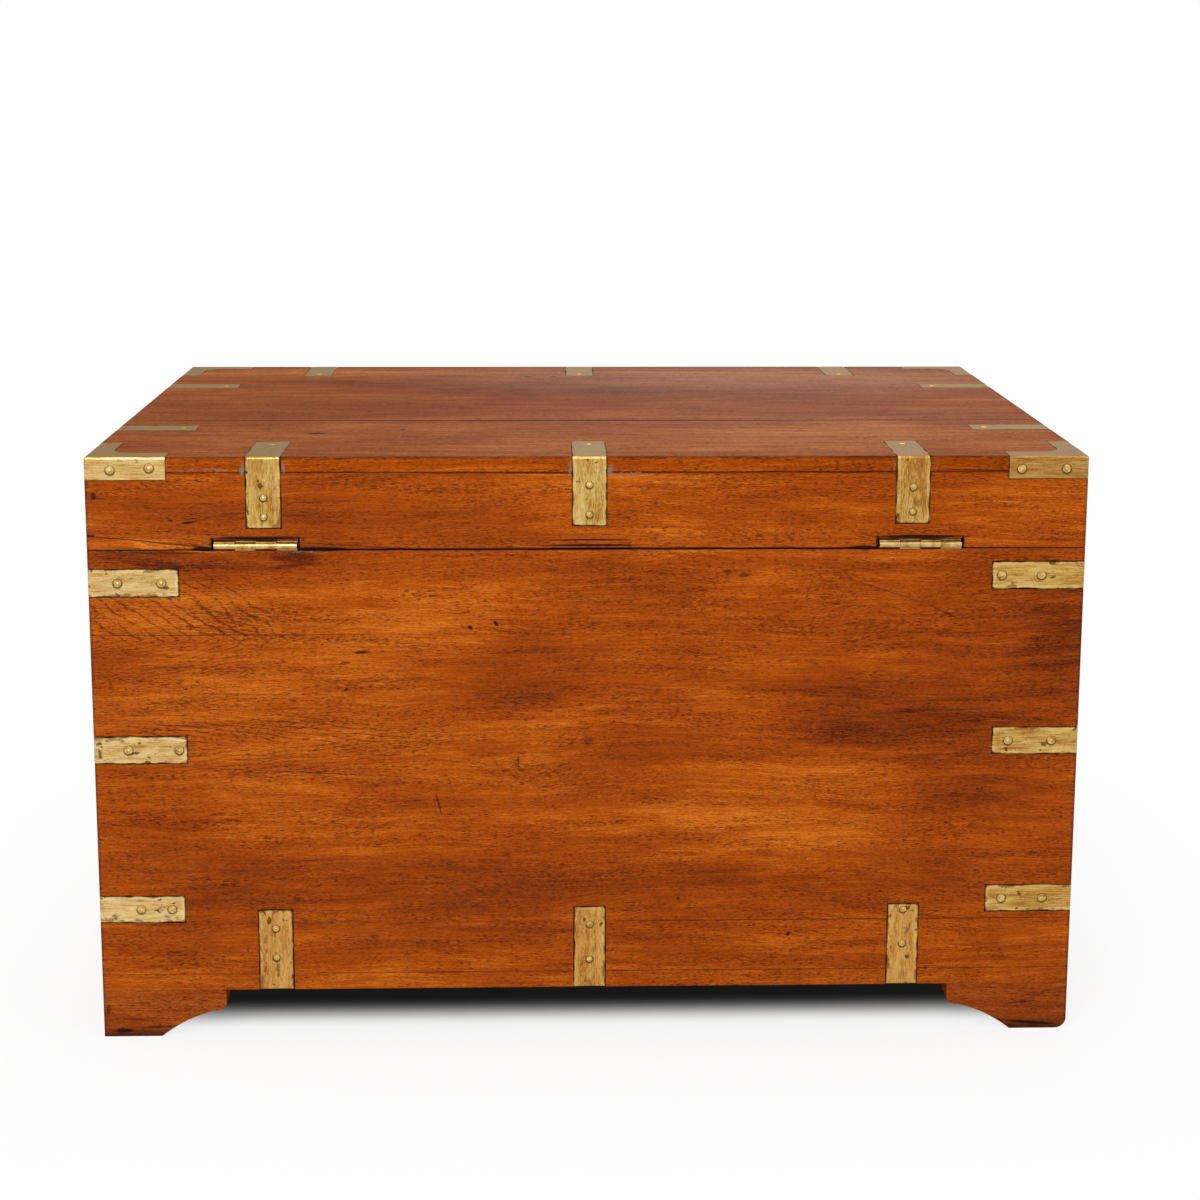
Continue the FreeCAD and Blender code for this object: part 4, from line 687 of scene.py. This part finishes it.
# How much brighter or duller (minus) some straps are than their neighbours, by their seed.
SHADES = {
    2: 0.05, 10: -0.02, 11: -0.07, 12: -0.05,
    50: -0.03, 51: 0.03, 52: -0.11, 70: 0.04, 71: 0.01, 72: 0.03,
}

# The tones of brass strip, from tarnished to freshly filed, as shares of its red, green and blue.
BRASS_TONES = (
    (0.26, 0.60, 0.38, 0.22), (0.42, 0.84, 0.73, 0.56), (0.53, 1.0, 1.0, 1.0), (0.74, 1.2, 1.36, 1.62),
)


def strip_brass(where, middle, heads=(), dull_top=False, tarnished=0.0, scratch=7):
    """Brass strip, rolled, cut by hand, filed and rubbed: fine scratches along the strip, a mottled skin,
    edges rubbed bright, brown tarnish in patches, and black wax with painted shade in the joint round it, and
    round its pins with a painted shadow below each head. Real scratches are a tenth of a millimetre wide, and
    these are wider, so that they show.

    A strap made here has its place, rim and pins in attributes. For a CAD bracket, the places of its
    pins' heads are given."""
    glance = {"Specular Tint": linear(GLANCING_BRASS)}
    material, add, shader, place = new_material("Rolled brass strip, " + where, glance)
    height = add("SeparateXYZ", {0: place}).outputs[2]
    spots = [add("VectorMath.DISTANCE", {0: place}, {1: head}).outputs["Value"] for head in heads]
    own, rim = {}, {}
    if not heads:
        names = ("strip", "rim", "pin", "shade")
        own = {name: add("Attribute", attribute_name=name).outputs for name in names}
        place = own["strip"]["Vector"]
        spots.append(own["pin"]["Fac"])
        rim = {
            what: add("MapRange", {"Value": own["rim"]["Fac"]}, span(near * MM, far * MM, most, 0.0))
            for what, (near, far, most) in NEAR_RIM.items()
        }
    tone = layered(add, place, (MOTTLE, ((scratch, SCRATCH_WIDTH, SCRATCH_WIDTH), 2, 0.8), PITTING))
    if own:
        for share in (own["shade"]["Fac"], rim["rubbed"]):
            tone = add("Math.ADD", {0: tone, 1: share})
    stops = [
        (at, [*(min(1.0, part * share) for part, share in zip(middle, shares)), 1.0])
        for at, *shares in BRASS_TONES
    ]
    colour = add("ValToRGB", {"Fac": tone}, stops=stops)

    # Tarnish in patches, more of it near the strap's edges.
    spread = clouded(add, place, (17, 8, 8), 5.0, 0.7, (3, 3, 3))
    if own:
        spread = add("Math.ADD", {0: spread, 1: rim["tarnish"]})
    dark = add("MapRange", {"Value": spread}, span(0.61 - tarnished, 0.69 - tarnished, 0.0, 0.75))
    coats = [(dark, TARNISH)]
    if tarnished:
        speck = add(
            "MapRange", {"Value": clouded(add, place, (9, 8, 8), 1.5, start=(7, 1, 5))},
            span(0.69 - tarnished, 0.73 - tarnished, 0.0, 0.85),
        )
        coats.append((speck, SPECKS))

    # Dark wax that no cloth reaches, with painted shade: round each pin, lower below it as a painted shadow,
    # and at the very edge, as the joint's painted shade.
    wax = rim.get("wax")
    from_head = 0.0 if own else CORNER_PIN
    for spot in spots:
        ring = add("MapRange", {"Value": spot}, span(from_head + 0.5 * MM, from_head + 1.7 * MM, 0.85, 0.0))
        wax = add("Math.MAXIMUM", {0: ring, 1: wax}) if wax else ring
    coats.append((wax, BRASS_WAX_AND_SHADE))
    if dull_top:
        above = add("Math.GREATER_THAN", {0: height}, {1: LID_TOP - 0.1 * MM})
        film = add("Math.MINIMUM", {0: above}, {1: 0.9})
        coats.append((film, TOP_FILM))
    for share, _ in coats[1:]:
        dark = add("Math.MAXIMUM", {0: dark, 1: share})
    link(shader, {
        "Base Color": coated(add, colour, coats),
        "Metallic": add("MapRange", {"Value": dark}, span(0.0, 1.0, 1.0, 0.4)),
        "Roughness": add("MapRange", {"Value": dark}, span(0.0, 1.0, 0.34, 0.55)),
        "Normal": add("Bump", {"Height": tone}, {"Strength": 0.5, "Distance": 0.25 * MM}),
    })
    return material


def bent_strip(flat, drop, width, clip):
    """A strip bent a quarter turn over an edge, with its outer corners clipped."""
    run, fall = flat - BEND + PROUD, drop - BEND + PROUD
    steps = round(fall / CELL)
    deselect()
    bpy.ops.mesh.primitive_grid_add(
        x_subdivisions=round(run / CELL), y_subdivisions=round(width / CELL), size=1.0, location=(0, 0, 0)
    )
    piece = bpy.context.object
    mesh = piece.data
    bpy.ops.object.mode_set(mode="EDIT")
    bpy.ops.mesh.select_all(action="SELECT")
    bpy.ops.transform.resize(value=(run, width, 1))
    bpy.ops.transform.translate(value=(TURN_AT - run / 2, 0, PROUD))
    pick(mesh, lambda p: p.x > TURN_AT - NEAR)
    bpy.ops.mesh.spin(steps=5, angle=math.pi / 2, center=(TURN_AT, 0, TURN_AT), axis=(0, -1, 0))
    pick(mesh, lambda p: p.x > PROUD - NEAR)
    for _ in range(steps):
        bpy.ops.mesh.extrude_region_move(TRANSFORM_OT_translate={"value": (0, 0, -fall / steps)})
    pick(mesh, lambda p: abs(p.y) > width / 2 - NEAR and (p.x < NEAR - flat or p.z < NEAR - drop))
    bpy.ops.mesh.bevel(offset=clip, segments=2, affect="VERTICES")
    bpy.ops.object.mode_set(mode="OBJECT")
    return piece


def measured(piece, flat, drop, width, pins, head, down, seed, shade):
    """Writes what strip_brass reads at each point: its place along the strip, how far it is from the
    strip's rim and from the nearest pin's head, and the strap's shade. Then groups the points by edge."""
    mesh = piece.data
    places, rims, rings = [], [], []
    edges = {"sides": [], "flat end": [], "hanging end": []}
    for point in mesh.vertices:
        x, y, z = point.co
        on_flat, on_face = z >= PROUD - NEAR, x >= PROUD - NEAR
        if on_flat:
            along, from_edge, low = x - TURN_AT, x, down.x
        elif on_face:
            along, from_edge, low = BEND * math.pi / 2 + TURN_AT - z, -z, -down.z
        else:
            along, from_edge, low = BEND * math.atan2(x - TURN_AT, z - TURN_AT), 0.0, 0.0
        to_end = min(x + flat if on_flat else 1.0, z + drop if on_face else 1.0)
        places += (along, y, seed * SLICE)
        rims.append(max(0.0, min(width / 2 - abs(y), to_end)))
        # The ring round a pin is measured from a point below its middle, for a painted shadow below the head.
        rings.append(min(math.hypot(from_edge - low - at, y - down.y) for at in pins) - head)
        if abs(y) > width / 2 - NEAR:
            edges["sides"].append(point.index)
        if to_end < NEAR:
            edges["flat end" if on_flat else "hanging end"].append(point.index)
    for name, kind, values in (
        ("strip", "FLOAT_VECTOR", places), ("rim", "FLOAT", rims), ("pin", "FLOAT", rings),
        ("shade", "FLOAT", [shade] * len(rims)),
    ):
        written = mesh.attributes.new(name, kind, "POINT")
        written.data.foreach_set("vector" if kind == "FLOAT_VECTOR" else "value", values)
    for name, points in edges.items():
        piece.vertex_groups.new(name=name).add(points, 1.0, "REPLACE")


def finished(piece, name, kind, **settings):
    """Adds a modifier with its settings, and applies it."""
    modifier = piece.modifiers.new(name, kind)
    for setting, value in settings.items():
        setattr(modifier, setting, value)
    bpy.ops.object.modifier_apply(modifier=name)


def strap(flat, drop, width, pins, head, place, seed, brass):
    """One strap: a strip bent over an edge, worn, buckled and let in.

    It is shaped with its bend at the origin along Y, its flat leg towards -X and its other leg
    towards -Z, and then put in its place. Pins are distances from the chest's edge, minus for
    the flat leg."""
    chance = random.Random(seed)
    piece = bent_strip(flat, drop, width, chance.uniform(0.7, 2.0) * MM)
    # How far below a pin's middle its ring is centred, in the strap's own axes, for a painted shadow below
    # the head.
    down = place.to_3x3().transposed() @ Vector((0, 0, -PIN_SHADOW_DROP))
    shade = SHADES.get(seed, chance.uniform(-0.03, 0.03))
    measured(piece, flat, drop, width, pins, head, down, seed, shade)
    piece.matrix_world = place
    bpy.context.view_layer.update()
    looks = bpy.context.scene.chest_brass
    for name, size, strength, direction, group in (
        ("Hand-cut sides", 12 * MM, looks.waver, "Y", "sides"),
        ("Hand-cut end", 8 * MM, looks.waver * 0.7, "X", "flat end"),
        ("Hand-cut foot", 8 * MM, looks.waver * 0.7, "Z", "hanging end"),
        ("Hammered face", 24 * MM, looks.buckle, "NORMAL", ""),
    ):
        clouds = bpy.data.textures.new(name, "CLOUDS")
        clouds.noise_scale = size
        finished(
            piece, name, "DISPLACE", texture=clouds, texture_coords="GLOBAL", direction=direction,
            mid_level=0.5, strength=strength, vertex_group=group,
        )
    piece.vertex_groups.clear()
    finished(piece, "Thickness", "SOLIDIFY", thickness=STRIP - 0.2 * MM, offset=-1.0, use_even_offset=True)
    arris = {"width": 0.25 * MM, "segments": 2, "limit_method": "ANGLE", "angle_limit": math.radians(50)}
    finished(piece, "Worn arris", "BEVEL", **arris)
    bpy.ops.object.shade_smooth_by_angle(angle=math.radians(35))
    bpy.ops.object.transform_apply(location=True, rotation=True, scale=True)
    piece.data.materials.append(brass)
    return piece


def outward(flat_normal, face_normal, corner):
    """The place of a strap whose flat leg lies on one face and whose other leg on the next."""
    up, ahead = Vector(flat_normal), Vector(face_normal)
    across = up.cross(ahead)
    turned = Matrix((ahead, across, up)).transposed().to_4x4()
    return Matrix.Translation(corner) @ turned


def bind(name, straps, body, *nodes):
    """Joins straps into one piece that rides on a body and stands for CAD nodes."""
    deselect()
    for each in straps:
        each.select_set(True)
    bpy.context.view_layer.objects.active = straps[0]
    bpy.ops.object.join()
    piece = bpy.context.object
    piece.name = name
    piece.data.name = name
    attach(piece, body)
    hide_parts(*nodes)


# Corner straps: height, then the leg along the rear or front and its two pins, in mm.
CORNER_STRAPS = {
    "rear_left": ((442.5, 83.0, 27, 67), (283, 86.5, 32, 79), (127, 80.0, 39, 68)),
    "rear_right": ((447.5, 86.0, 40, 77), (288, 81.0, 25, 66), (132, 82.5, 28, 67)),
    "front_left": ((442.5, 84.0, 30, 70), (283, 81.5, 28, 72), (127, 85.0, 33, 75)),
    "front_right": ((447.5, 82.0, 29, 71), (288, 85.0, 34, 74), (132, 83.0, 27, 69)),
}
CORNER_SIGNS = {"rear_left": (1, 1), "rear_right": (-1, 1), "front_left": (1, -1), "front_right": (-1, -1)}

# Edge straps: the face's normal, then place along the side, width, leg on the face and its pins.
LID_STRAPS = (
    ((0, 1), (298, 32.0, 66.5, 37.8, 55.7), (0, 31.5, 64.6, 26.4, 54.1), (-298, 31.0, 63.1, 29.1, 51.9)),
    ((0, -1), (303, 31.0, 65.0, 27.5, 54.0), (0, 31.5, 66.0, 29, 55), (-303, 32.0, 64.0, 28.0, 52.5)),
    ((1, 0), (138.5, 27.5, 64.0, 28, 52), (-138.5, 28.0, 65.5, 30, 54)),
    ((-1, 0), (138.5, 28.0, 65.0, 29, 53), (-138.5, 27.5, 63.5, 27, 52)),
)
BOTTOM_STRAPS = (
    ((0, 1), (295.3, 32.3, 79.5, 32, 61), (-1.2, 29.9, 80.5, 28, 63), (-299.4, 29.5, 81.0, 41.3, 75.5)),
    ((0, -1), (298, 30.5, 80.0, 31, 64), (0, 31.0, 79.0, 30, 62), (-298, 30.0, 80.5, 33, 65)),
    ((1, 0), (138.5, 28.0, 79.0, 30, 62), (-138.5, 27.5, 80.0, 32, 64)),
    ((-1, 0), (138.5, 27.5, 80.0, 31, 63), (-138.5, 28.0, 79.0, 29, 61)),
)

# Each corner strap's leg on the end wall, its two pins there, and its width.
END_LEG = 82 * MM
END_PINS = [28 * MM, 68 * MM]
CORNER_WIDTH = 26 * MM

# The leg on the lid's top or under the case, and its pin. Then the seed of the first strap there.
TOP_LEG = (78 * MM, 64 * MM, 50)
UNDER_LEG = (60 * MM, 44 * MM, 70)


class CHEST_OT_corner_straps(bpy.types.Operator):
    """Makes the three straps round each upright corner"""

    bl_idname = "chest.corner_straps"
    bl_label = "Corner straps"

    def execute(self, context):
        looks = context.scene.chest_brass
        pale = strip_brass("left corners", looks.pale, tarnished=0.04, scratch=18)
        golden = strip_brass("right corners", looks.rubbed, tarnished=0.02, scratch=18)
        for number, (corner, rows) in enumerate(CORNER_STRAPS.items()):
            sx, sy = CORNER_SIGNS[corner]
            brass = pale if sx > 0 else golden
            made = []
            for row, (height, leg, near_pin, far_pin) in enumerate(rows):
                place = outward((0, sy, 0), (sx, 0, 0), (sx * HALF_W, sy * HALF_D, height * MM))
                pins = [-near_pin * MM, -far_pin * MM, *END_PINS]
                seed = 10 * number + row
                made.append(strap(leg * MM, END_LEG, CORNER_WIDTH, pins, CORNER_PIN, place, seed, brass))
            bind("brass_straps_" + corner, made, "case", "corner_straps_" + corner)
        return {"FINISHED"}


def edge_straps(table, height, up, flat, flat_pin, first_seed, brass):
    """Straps over the lid's edges, or under the case's edges."""
    made = []
    for (sx, sy), *rows in table:
        for along, width, leg, near_pin, far_pin in rows:
            corner = Vector((sx * HALF_W + abs(sy) * along * MM, sy * HALF_D + abs(sx) * along * MM, height))
            place = outward((0, 0, up), (sx, sy, 0), corner)
            pins = [-flat_pin, near_pin * MM, far_pin * MM]
            seed = first_seed + len(made)
            made.append(strap(flat, leg * MM, width * MM, pins, EDGE_PIN, place, seed, brass))
    return made


class CHEST_OT_edge_straps(bpy.types.Operator):
    """Makes the straps over the lid's edges and under the case's edges"""

    bl_idname = "chest.edge_straps"
    bl_label = "Edge straps"

    def execute(self, context):
        looks = context.scene.chest_brass
        brass = strip_brass("lid edges", looks.rubbed, dull_top=True, tarnished=0.02)
        bind("brass_straps_lid", edge_straps(LID_STRAPS, LID_TOP, 1, *TOP_LEG, brass), "lid", "lid_straps")
        brass = strip_brass("bottom edges", looks.browned, tarnished=0.04)
        under = edge_straps(BOTTOM_STRAPS, CASE_FOOT, -1, *UNDER_LEG, brass)
        bind("brass_straps_bottom", under, "case", "bottom_straps")
        return {"FINISHED"}


# ---- Fittings --------------------------------------------------------------------------------
# Pins of the lid's corner brackets: distance from the corner and from the lid's top, in mm. First
# those on the end wall's side, which are alike, and then those on the rear or front.
BRACKET_END_PINS = ((22.0, 12.0), (60.0, 11.5))
BRACKET_PINS = {
    "rear_left": ((23.5, 12.0), (59.0, 10.0)),
    "rear_right": ((20.5, 12.0), (62.0, 12.0)),
    "front_left": ((22.0, 11.5), (61.0, 12.0)),
    "front_right": ((24.0, 12.0), (60.0, 11.0)),
}

# The worked metals: their colours from tarnished to rubbed, the size of their clouds in mm, how
# rough they are where rubbed, the depth of their bumps in mm, and their colour at a glancing view.
METALS = {
    # Their heads are hammered down and rubbed bright: small warm domes.
    "Drawn brass pins": (("#805C2A", "#C8A25C", "#E6C682"), 4, 0.34, 0.15, GLANCING_BRASS),
    # Seldom touched, and so browner than the pins.
    "Turned brass screws": (("#6E5228", "#AA8A4C", "#CDAE6C"), 3, 0.32, 0.1, GLANCING_BRASS),
    # Polished by use: pale gold, with long clear highlights along the barrel.
    "Drawn brass hinges": (("#84622F", "#C09E60", "#E0C48C"), 9, 0.26, 0.15, GLANCING_BRASS),
    # Sand-cast, filed and left to tarnish: deep yellow with a pitted, clouded skin.
    "Cast brass fittings": (("#6E5024", "#AE8840", "#D0AE64"), 9, 0.32, 0.3, GLANCING_BRASS),
    # Oiled rod: grey, with dim clouds where it has dulled.
    "Bright steel": (("#4A4642", "#77746F", "#9A9892"), 12, 0.34, 0.15, "#FFFFFF"),
}


def worked_metal(name):
    """A metal with tarnish in clouds, and a faintly uneven skin."""
    colours, size, roughness, bump_depth, glancing = METALS[name]
    material, add, shader, place = new_material(name, {"Metallic": 1.0, "Specular Tint": linear(glancing)})
    cloud = clouded(add, place, (size, size, size), 5.0, 0.65)
    rough = span(0.35, 0.65, roughness + 0.15, roughness)
    bump = {"Strength": 0.5, "Distance": bump_depth * MM}
    link(shader, {
        "Base Color": add("ValToRGB", {"Fac": cloud}, stops=zip((0.3, 0.5, 0.7), colours)),
        "Roughness": add("MapRange", {"Value": cloud}, rough),
        "Normal": add("Bump", {"Height": cloud}, bump),
    })
    return material


class CHEST_OT_fittings(bpy.types.Operator):
    """Gives the pins, screws, hinges, lock, handles and stay their metal"""

    bl_idname = "chest.fittings"
    bl_label = "Fittings"

    def execute(self, context):
        pins, screws, hinges, cast, steel = (worked_metal(name) for name in METALS)
        dress(pins, "case_pins", "lid_pins")
        dress(screws, "case_screws", "lid_screws", "handle_screws")
        dress(hinges, *[name for name in named("hinge") if name.endswith("leaf")])
        dress(steel, "hinge_pins", "lock_bolt")
        starts = ("handle_left", "handle_right", "lock_case", "lock_link", "lock_escutcheon", "stay")
        dress(cast, *named(*starts))
        looks = context.scene.chest_brass
        for corner, (sx, sy) in CORNER_SIGNS.items():
            # The brackets' pin heads are set a little low, so that their rings make a painted shadow below
            # each head.
            heads = [
                (sx * (HALF_W - inset * MM), sy * HALF_D, LID_TOP - PIN_SHADOW_DROP - drop * MM)
                for inset, drop in BRACKET_PINS[corner]
            ]
            heads += [
                (sx * HALF_W, sy * (HALF_D - inset * MM), LID_TOP - PIN_SHADOW_DROP - drop * MM)
                for inset, drop in BRACKET_END_PINS
            ]
            middle = looks.pale if sx > 0 else looks.dulled
            strip = strip_brass("lid corner " + corner, middle, heads, dull_top=True, scratch=22)
            dress(strip, "lid_corner_" + corner)
        return {"FINISHED"}


# ---- Studio ----------------------------------------------------------------------------------
# A painted shadow on the floor under the chest: its colour, and between which distances from the chest's
# walls it turns into the floor's own colour, in metres, minus under the chest.
FLOOR_SHADE = "#202020"
SHADE_END = (-0.062, -0.008)

# The floor's whiteness: between which distances it comes up, how steeply and how far, how much more
# of it comes with distance, and over which distance.
WHITE_START = (-0.088, -0.014)
WHITE_STEEPNESS = 2.2
WHITE_BESIDE = 0.8
WHITE_MORE = (0.008, 0.2)
WHITE_REACH = 0.3

# How bright the white world is as a light. What is seen of it is 1.
WORLD_LIGHT = 0.4

# The soft lamps: place, aim and size in metres, and power in watts.
LAMPS = {
    "Key": ((0.9, 2.7, 2.5), (0, 0.2, 0.3), (2.2, 1.4), 62),
    "Fill": ((-2.6, 2.0, 1.9), (0, 0.2, 0.3), (1.8, 1.8), 26),
    "Top": ((0, 0.2, 3.2), (0, 0, 0.5), (2.4, 1.8), 14),
    "Front": ((-0.6, -2.6, 2.5), (0, 0, 0.3), (2.0, 1.4), 40),
    "Side": ((3.2, -0.8, 1.4), (0, 0, 0.3), (1.6, 1.6), 26),
}

# The camera: its place in metres, its turn aside, down and about its own axis in degrees, and its
# lens: sensor and focal length in mm, and its shift up, or down as here, in sensor widths.
CAMERA_PLACE = (0.043, 2.143, 0.903)
CAMERA_YAW, CAMERA_PITCH, CAMERA_ROLL = 1.62, 9.16, 0.20
CAMERA_LENS = {"sensor_width": 36.0, "lens": 61.7, "shift_y": -0.16}


def soft_lamp(name, place, aim, size, power):
    """A soft lamp at place, turned to aim."""
    lamp = bpy.data.lights.new(name, "AREA")
    lamp.shape = "RECTANGLE"
    lamp.size, lamp.size_y = size
    lamp.energy = power * bpy.context.scene.chest_stage.level
    made = bpy.data.objects.new(name, lamp)
    made.location = place
    made.rotation_euler = (Vector(aim) - Vector(place)).to_track_quat("-Z", "Y").to_euler()
    bpy.context.scene.collection.objects.link(made)


def seen(add):
    """The share of rays that bring the studio to the eye: camera, glossy and transmission rays."""
    path = add("LightPath").outputs
    share = path["Is Camera Ray"]
    for other in ("Is Glossy Ray", "Is Transmission Ray"):
        share = add("Math.MAXIMUM", {0: share, 1: path[other]})
    return share


def studio_floor(colour):
    """A matt floor: a painted shadow under the chest, its own soft shadow beside it, and white farther off.
    """
    dull = {"Roughness": 0.9, "Specular IOR Level": 0.0}
    material, add, shader, place = new_material("Matt studio floor", dull)

    # How far from the chest's walls a point lies, minus under the chest.
    folded = add("VectorMath.ABSOLUTE", {0: place})
    past = add("VectorMath.SUBTRACT", {0: folded}, {1: (HALF_W, HALF_D, 0)})
    split = add("SeparateXYZ", {0: past}).outputs
    under = add("Math.MAXIMUM", {0: split[0], 1: split[1]})
    under = add("Math.MINIMUM", {0: under}, {1: 0.0})
    past = add("VectorMath.MAXIMUM", {0: past}, {1: (0, 0, 0)})
    far = add("VectorMath.LENGTH", {0: past}).outputs["Value"]
    far = add("Math.ADD", {0: far, 1: under})

    # The painted shadow: dark under the chest, coming up to the floor's own colour near its walls.
    low, high = SHADE_END
    pale = add("MapRange", {"Value": far}, span(low, high))
    floor = add("Mix", {0: pale}, {6: linear(FLOOR_SHADE), 7: (*colour, 1.0)}, data_type="RGBA")
    low, high = WHITE_START
    beside = add("MapRange", {"Value": far}, span(low, high), interpolation_type="SMOOTHSTEP")
    for operation, by in (("POWER", WHITE_STEEPNESS), ("MULTIPLY", WHITE_BESIDE)):
        beside = add("Math." + operation, {0: beside}, {1: by})
    low, high = WHITE_MORE
    away = add("MapRange", {"Value": far}, span(0.0, WHITE_REACH, low, high))
    white = add("Math.ADD", {0: beside, 1: away})
    white = add("Math.MULTIPLY", {0: seen(add), 1: white})
    glow = add("Emission", inputs={"Color": linear("#FFFFFF"), "Strength": 1.0})
    mix = add("MixShader", {0: white, 1: shader, 2: glow})
    link(shader, {"Base Color": floor.outputs[2]})
    link(material.node_tree.nodes["Material Output"], {"Surface": mix})
    return material


def studio_world():
    """White to the eye and in the metal, and a dimmer, even light on the chest."""
    world = bpy.data.worlds.new("Studio")
    world.use_nodes = True
    world.node_tree.nodes.clear()
    add = partial(add_node, world.node_tree)
    dim, white = (
        add("Background", inputs={"Color": linear("#FFFFFF"), "Strength": strength})
        for strength in (WORLD_LIGHT, 1.0)
    )
    mix = add("MixShader", {0: seen(add), 1: dim, 2: white})
    add("OutputWorld", {"Surface": mix})
    return world


def camera_place():
    """Behind the chest, a little above its lid, looking down at it."""
    place = Matrix.Translation(CAMERA_PLACE)
    for degrees, axis in ((180 - CAMERA_YAW, "Z"), (90 - CAMERA_PITCH, "X"), (CAMERA_ROLL, "Z")):
        place = place @ Matrix.Rotation(math.radians(degrees), 4, axis)
    return place


class CHEST_OT_studio(bpy.types.Operator):
    """Lays the floor, and sets the lamps, the world and the camera"""

    bl_idname = "chest.studio"
    bl_label = "Studio"

    def execute(self, context):
        scene = context.scene
        deselect()
        bpy.ops.mesh.primitive_plane_add(size=30.0, location=(0, 0, 0))
        floor = context.object
        floor.name = "floor"
        floor.data.materials.append(studio_floor(scene.chest_stage.floor))
        scene.view_settings.view_transform = "Standard"
        scene.world = studio_world()
        for name, lamp in LAMPS.items():
            soft_lamp(name, *lamp)
        lens = bpy.data.cameras.new("Camera")
        for setting, value in CAMERA_LENS.items():
            setattr(lens, setting, value)
        camera = bpy.data.objects.new("Camera", lens)
        scene.collection.objects.link(camera)
        camera.matrix_world = camera_place()
        scene.camera = camera
        return {"FINISHED"}


class CHEST_PT_panel(bpy.types.Panel):
    """Lists the chest's operators"""

    bl_idname = "CHEST_PT_panel"
    bl_label = "Campaign chest"
    bl_space_type = "VIEW_3D"
    bl_region_type = "UI"
    bl_category = "Chest"

    def draw(self, context):
        for group in (context.scene.chest_wood, context.scene.chest_brass, context.scene.chest_stage):
            for name in group.__annotations__:
                self.layout.prop(group, name)
        for operator in OPERATORS:
            self.layout.operator(operator.bl_idname)


GROUPS = {"chest_wood": ChestWood, "chest_brass": ChestBrass, "chest_stage": ChestStage}
OPERATORS = (CHEST_OT_teak, CHEST_OT_corner_straps, CHEST_OT_edge_straps, CHEST_OT_fittings, CHEST_OT_studio)
CLASSES = (*GROUPS.values(), *OPERATORS, CHEST_PT_panel)


def register():
    for made in CLASSES:
        bpy.utils.register_class(made)
    for name, group in GROUPS.items():
        setattr(bpy.types.Scene, name, bpy.props.PointerProperty(type=group))


def unregister():
    for name in GROUPS:
        delattr(bpy.types.Scene, name)
    for made in reversed(CLASSES):
        bpy.utils.unregister_class(made)


def main():
    register()
    bpy.ops.chest.teak()
    bpy.ops.chest.corner_straps()
    bpy.ops.chest.edge_straps()
    bpy.ops.chest.fittings()
    bpy.ops.chest.studio()


if __name__ == "__main__":
    main()
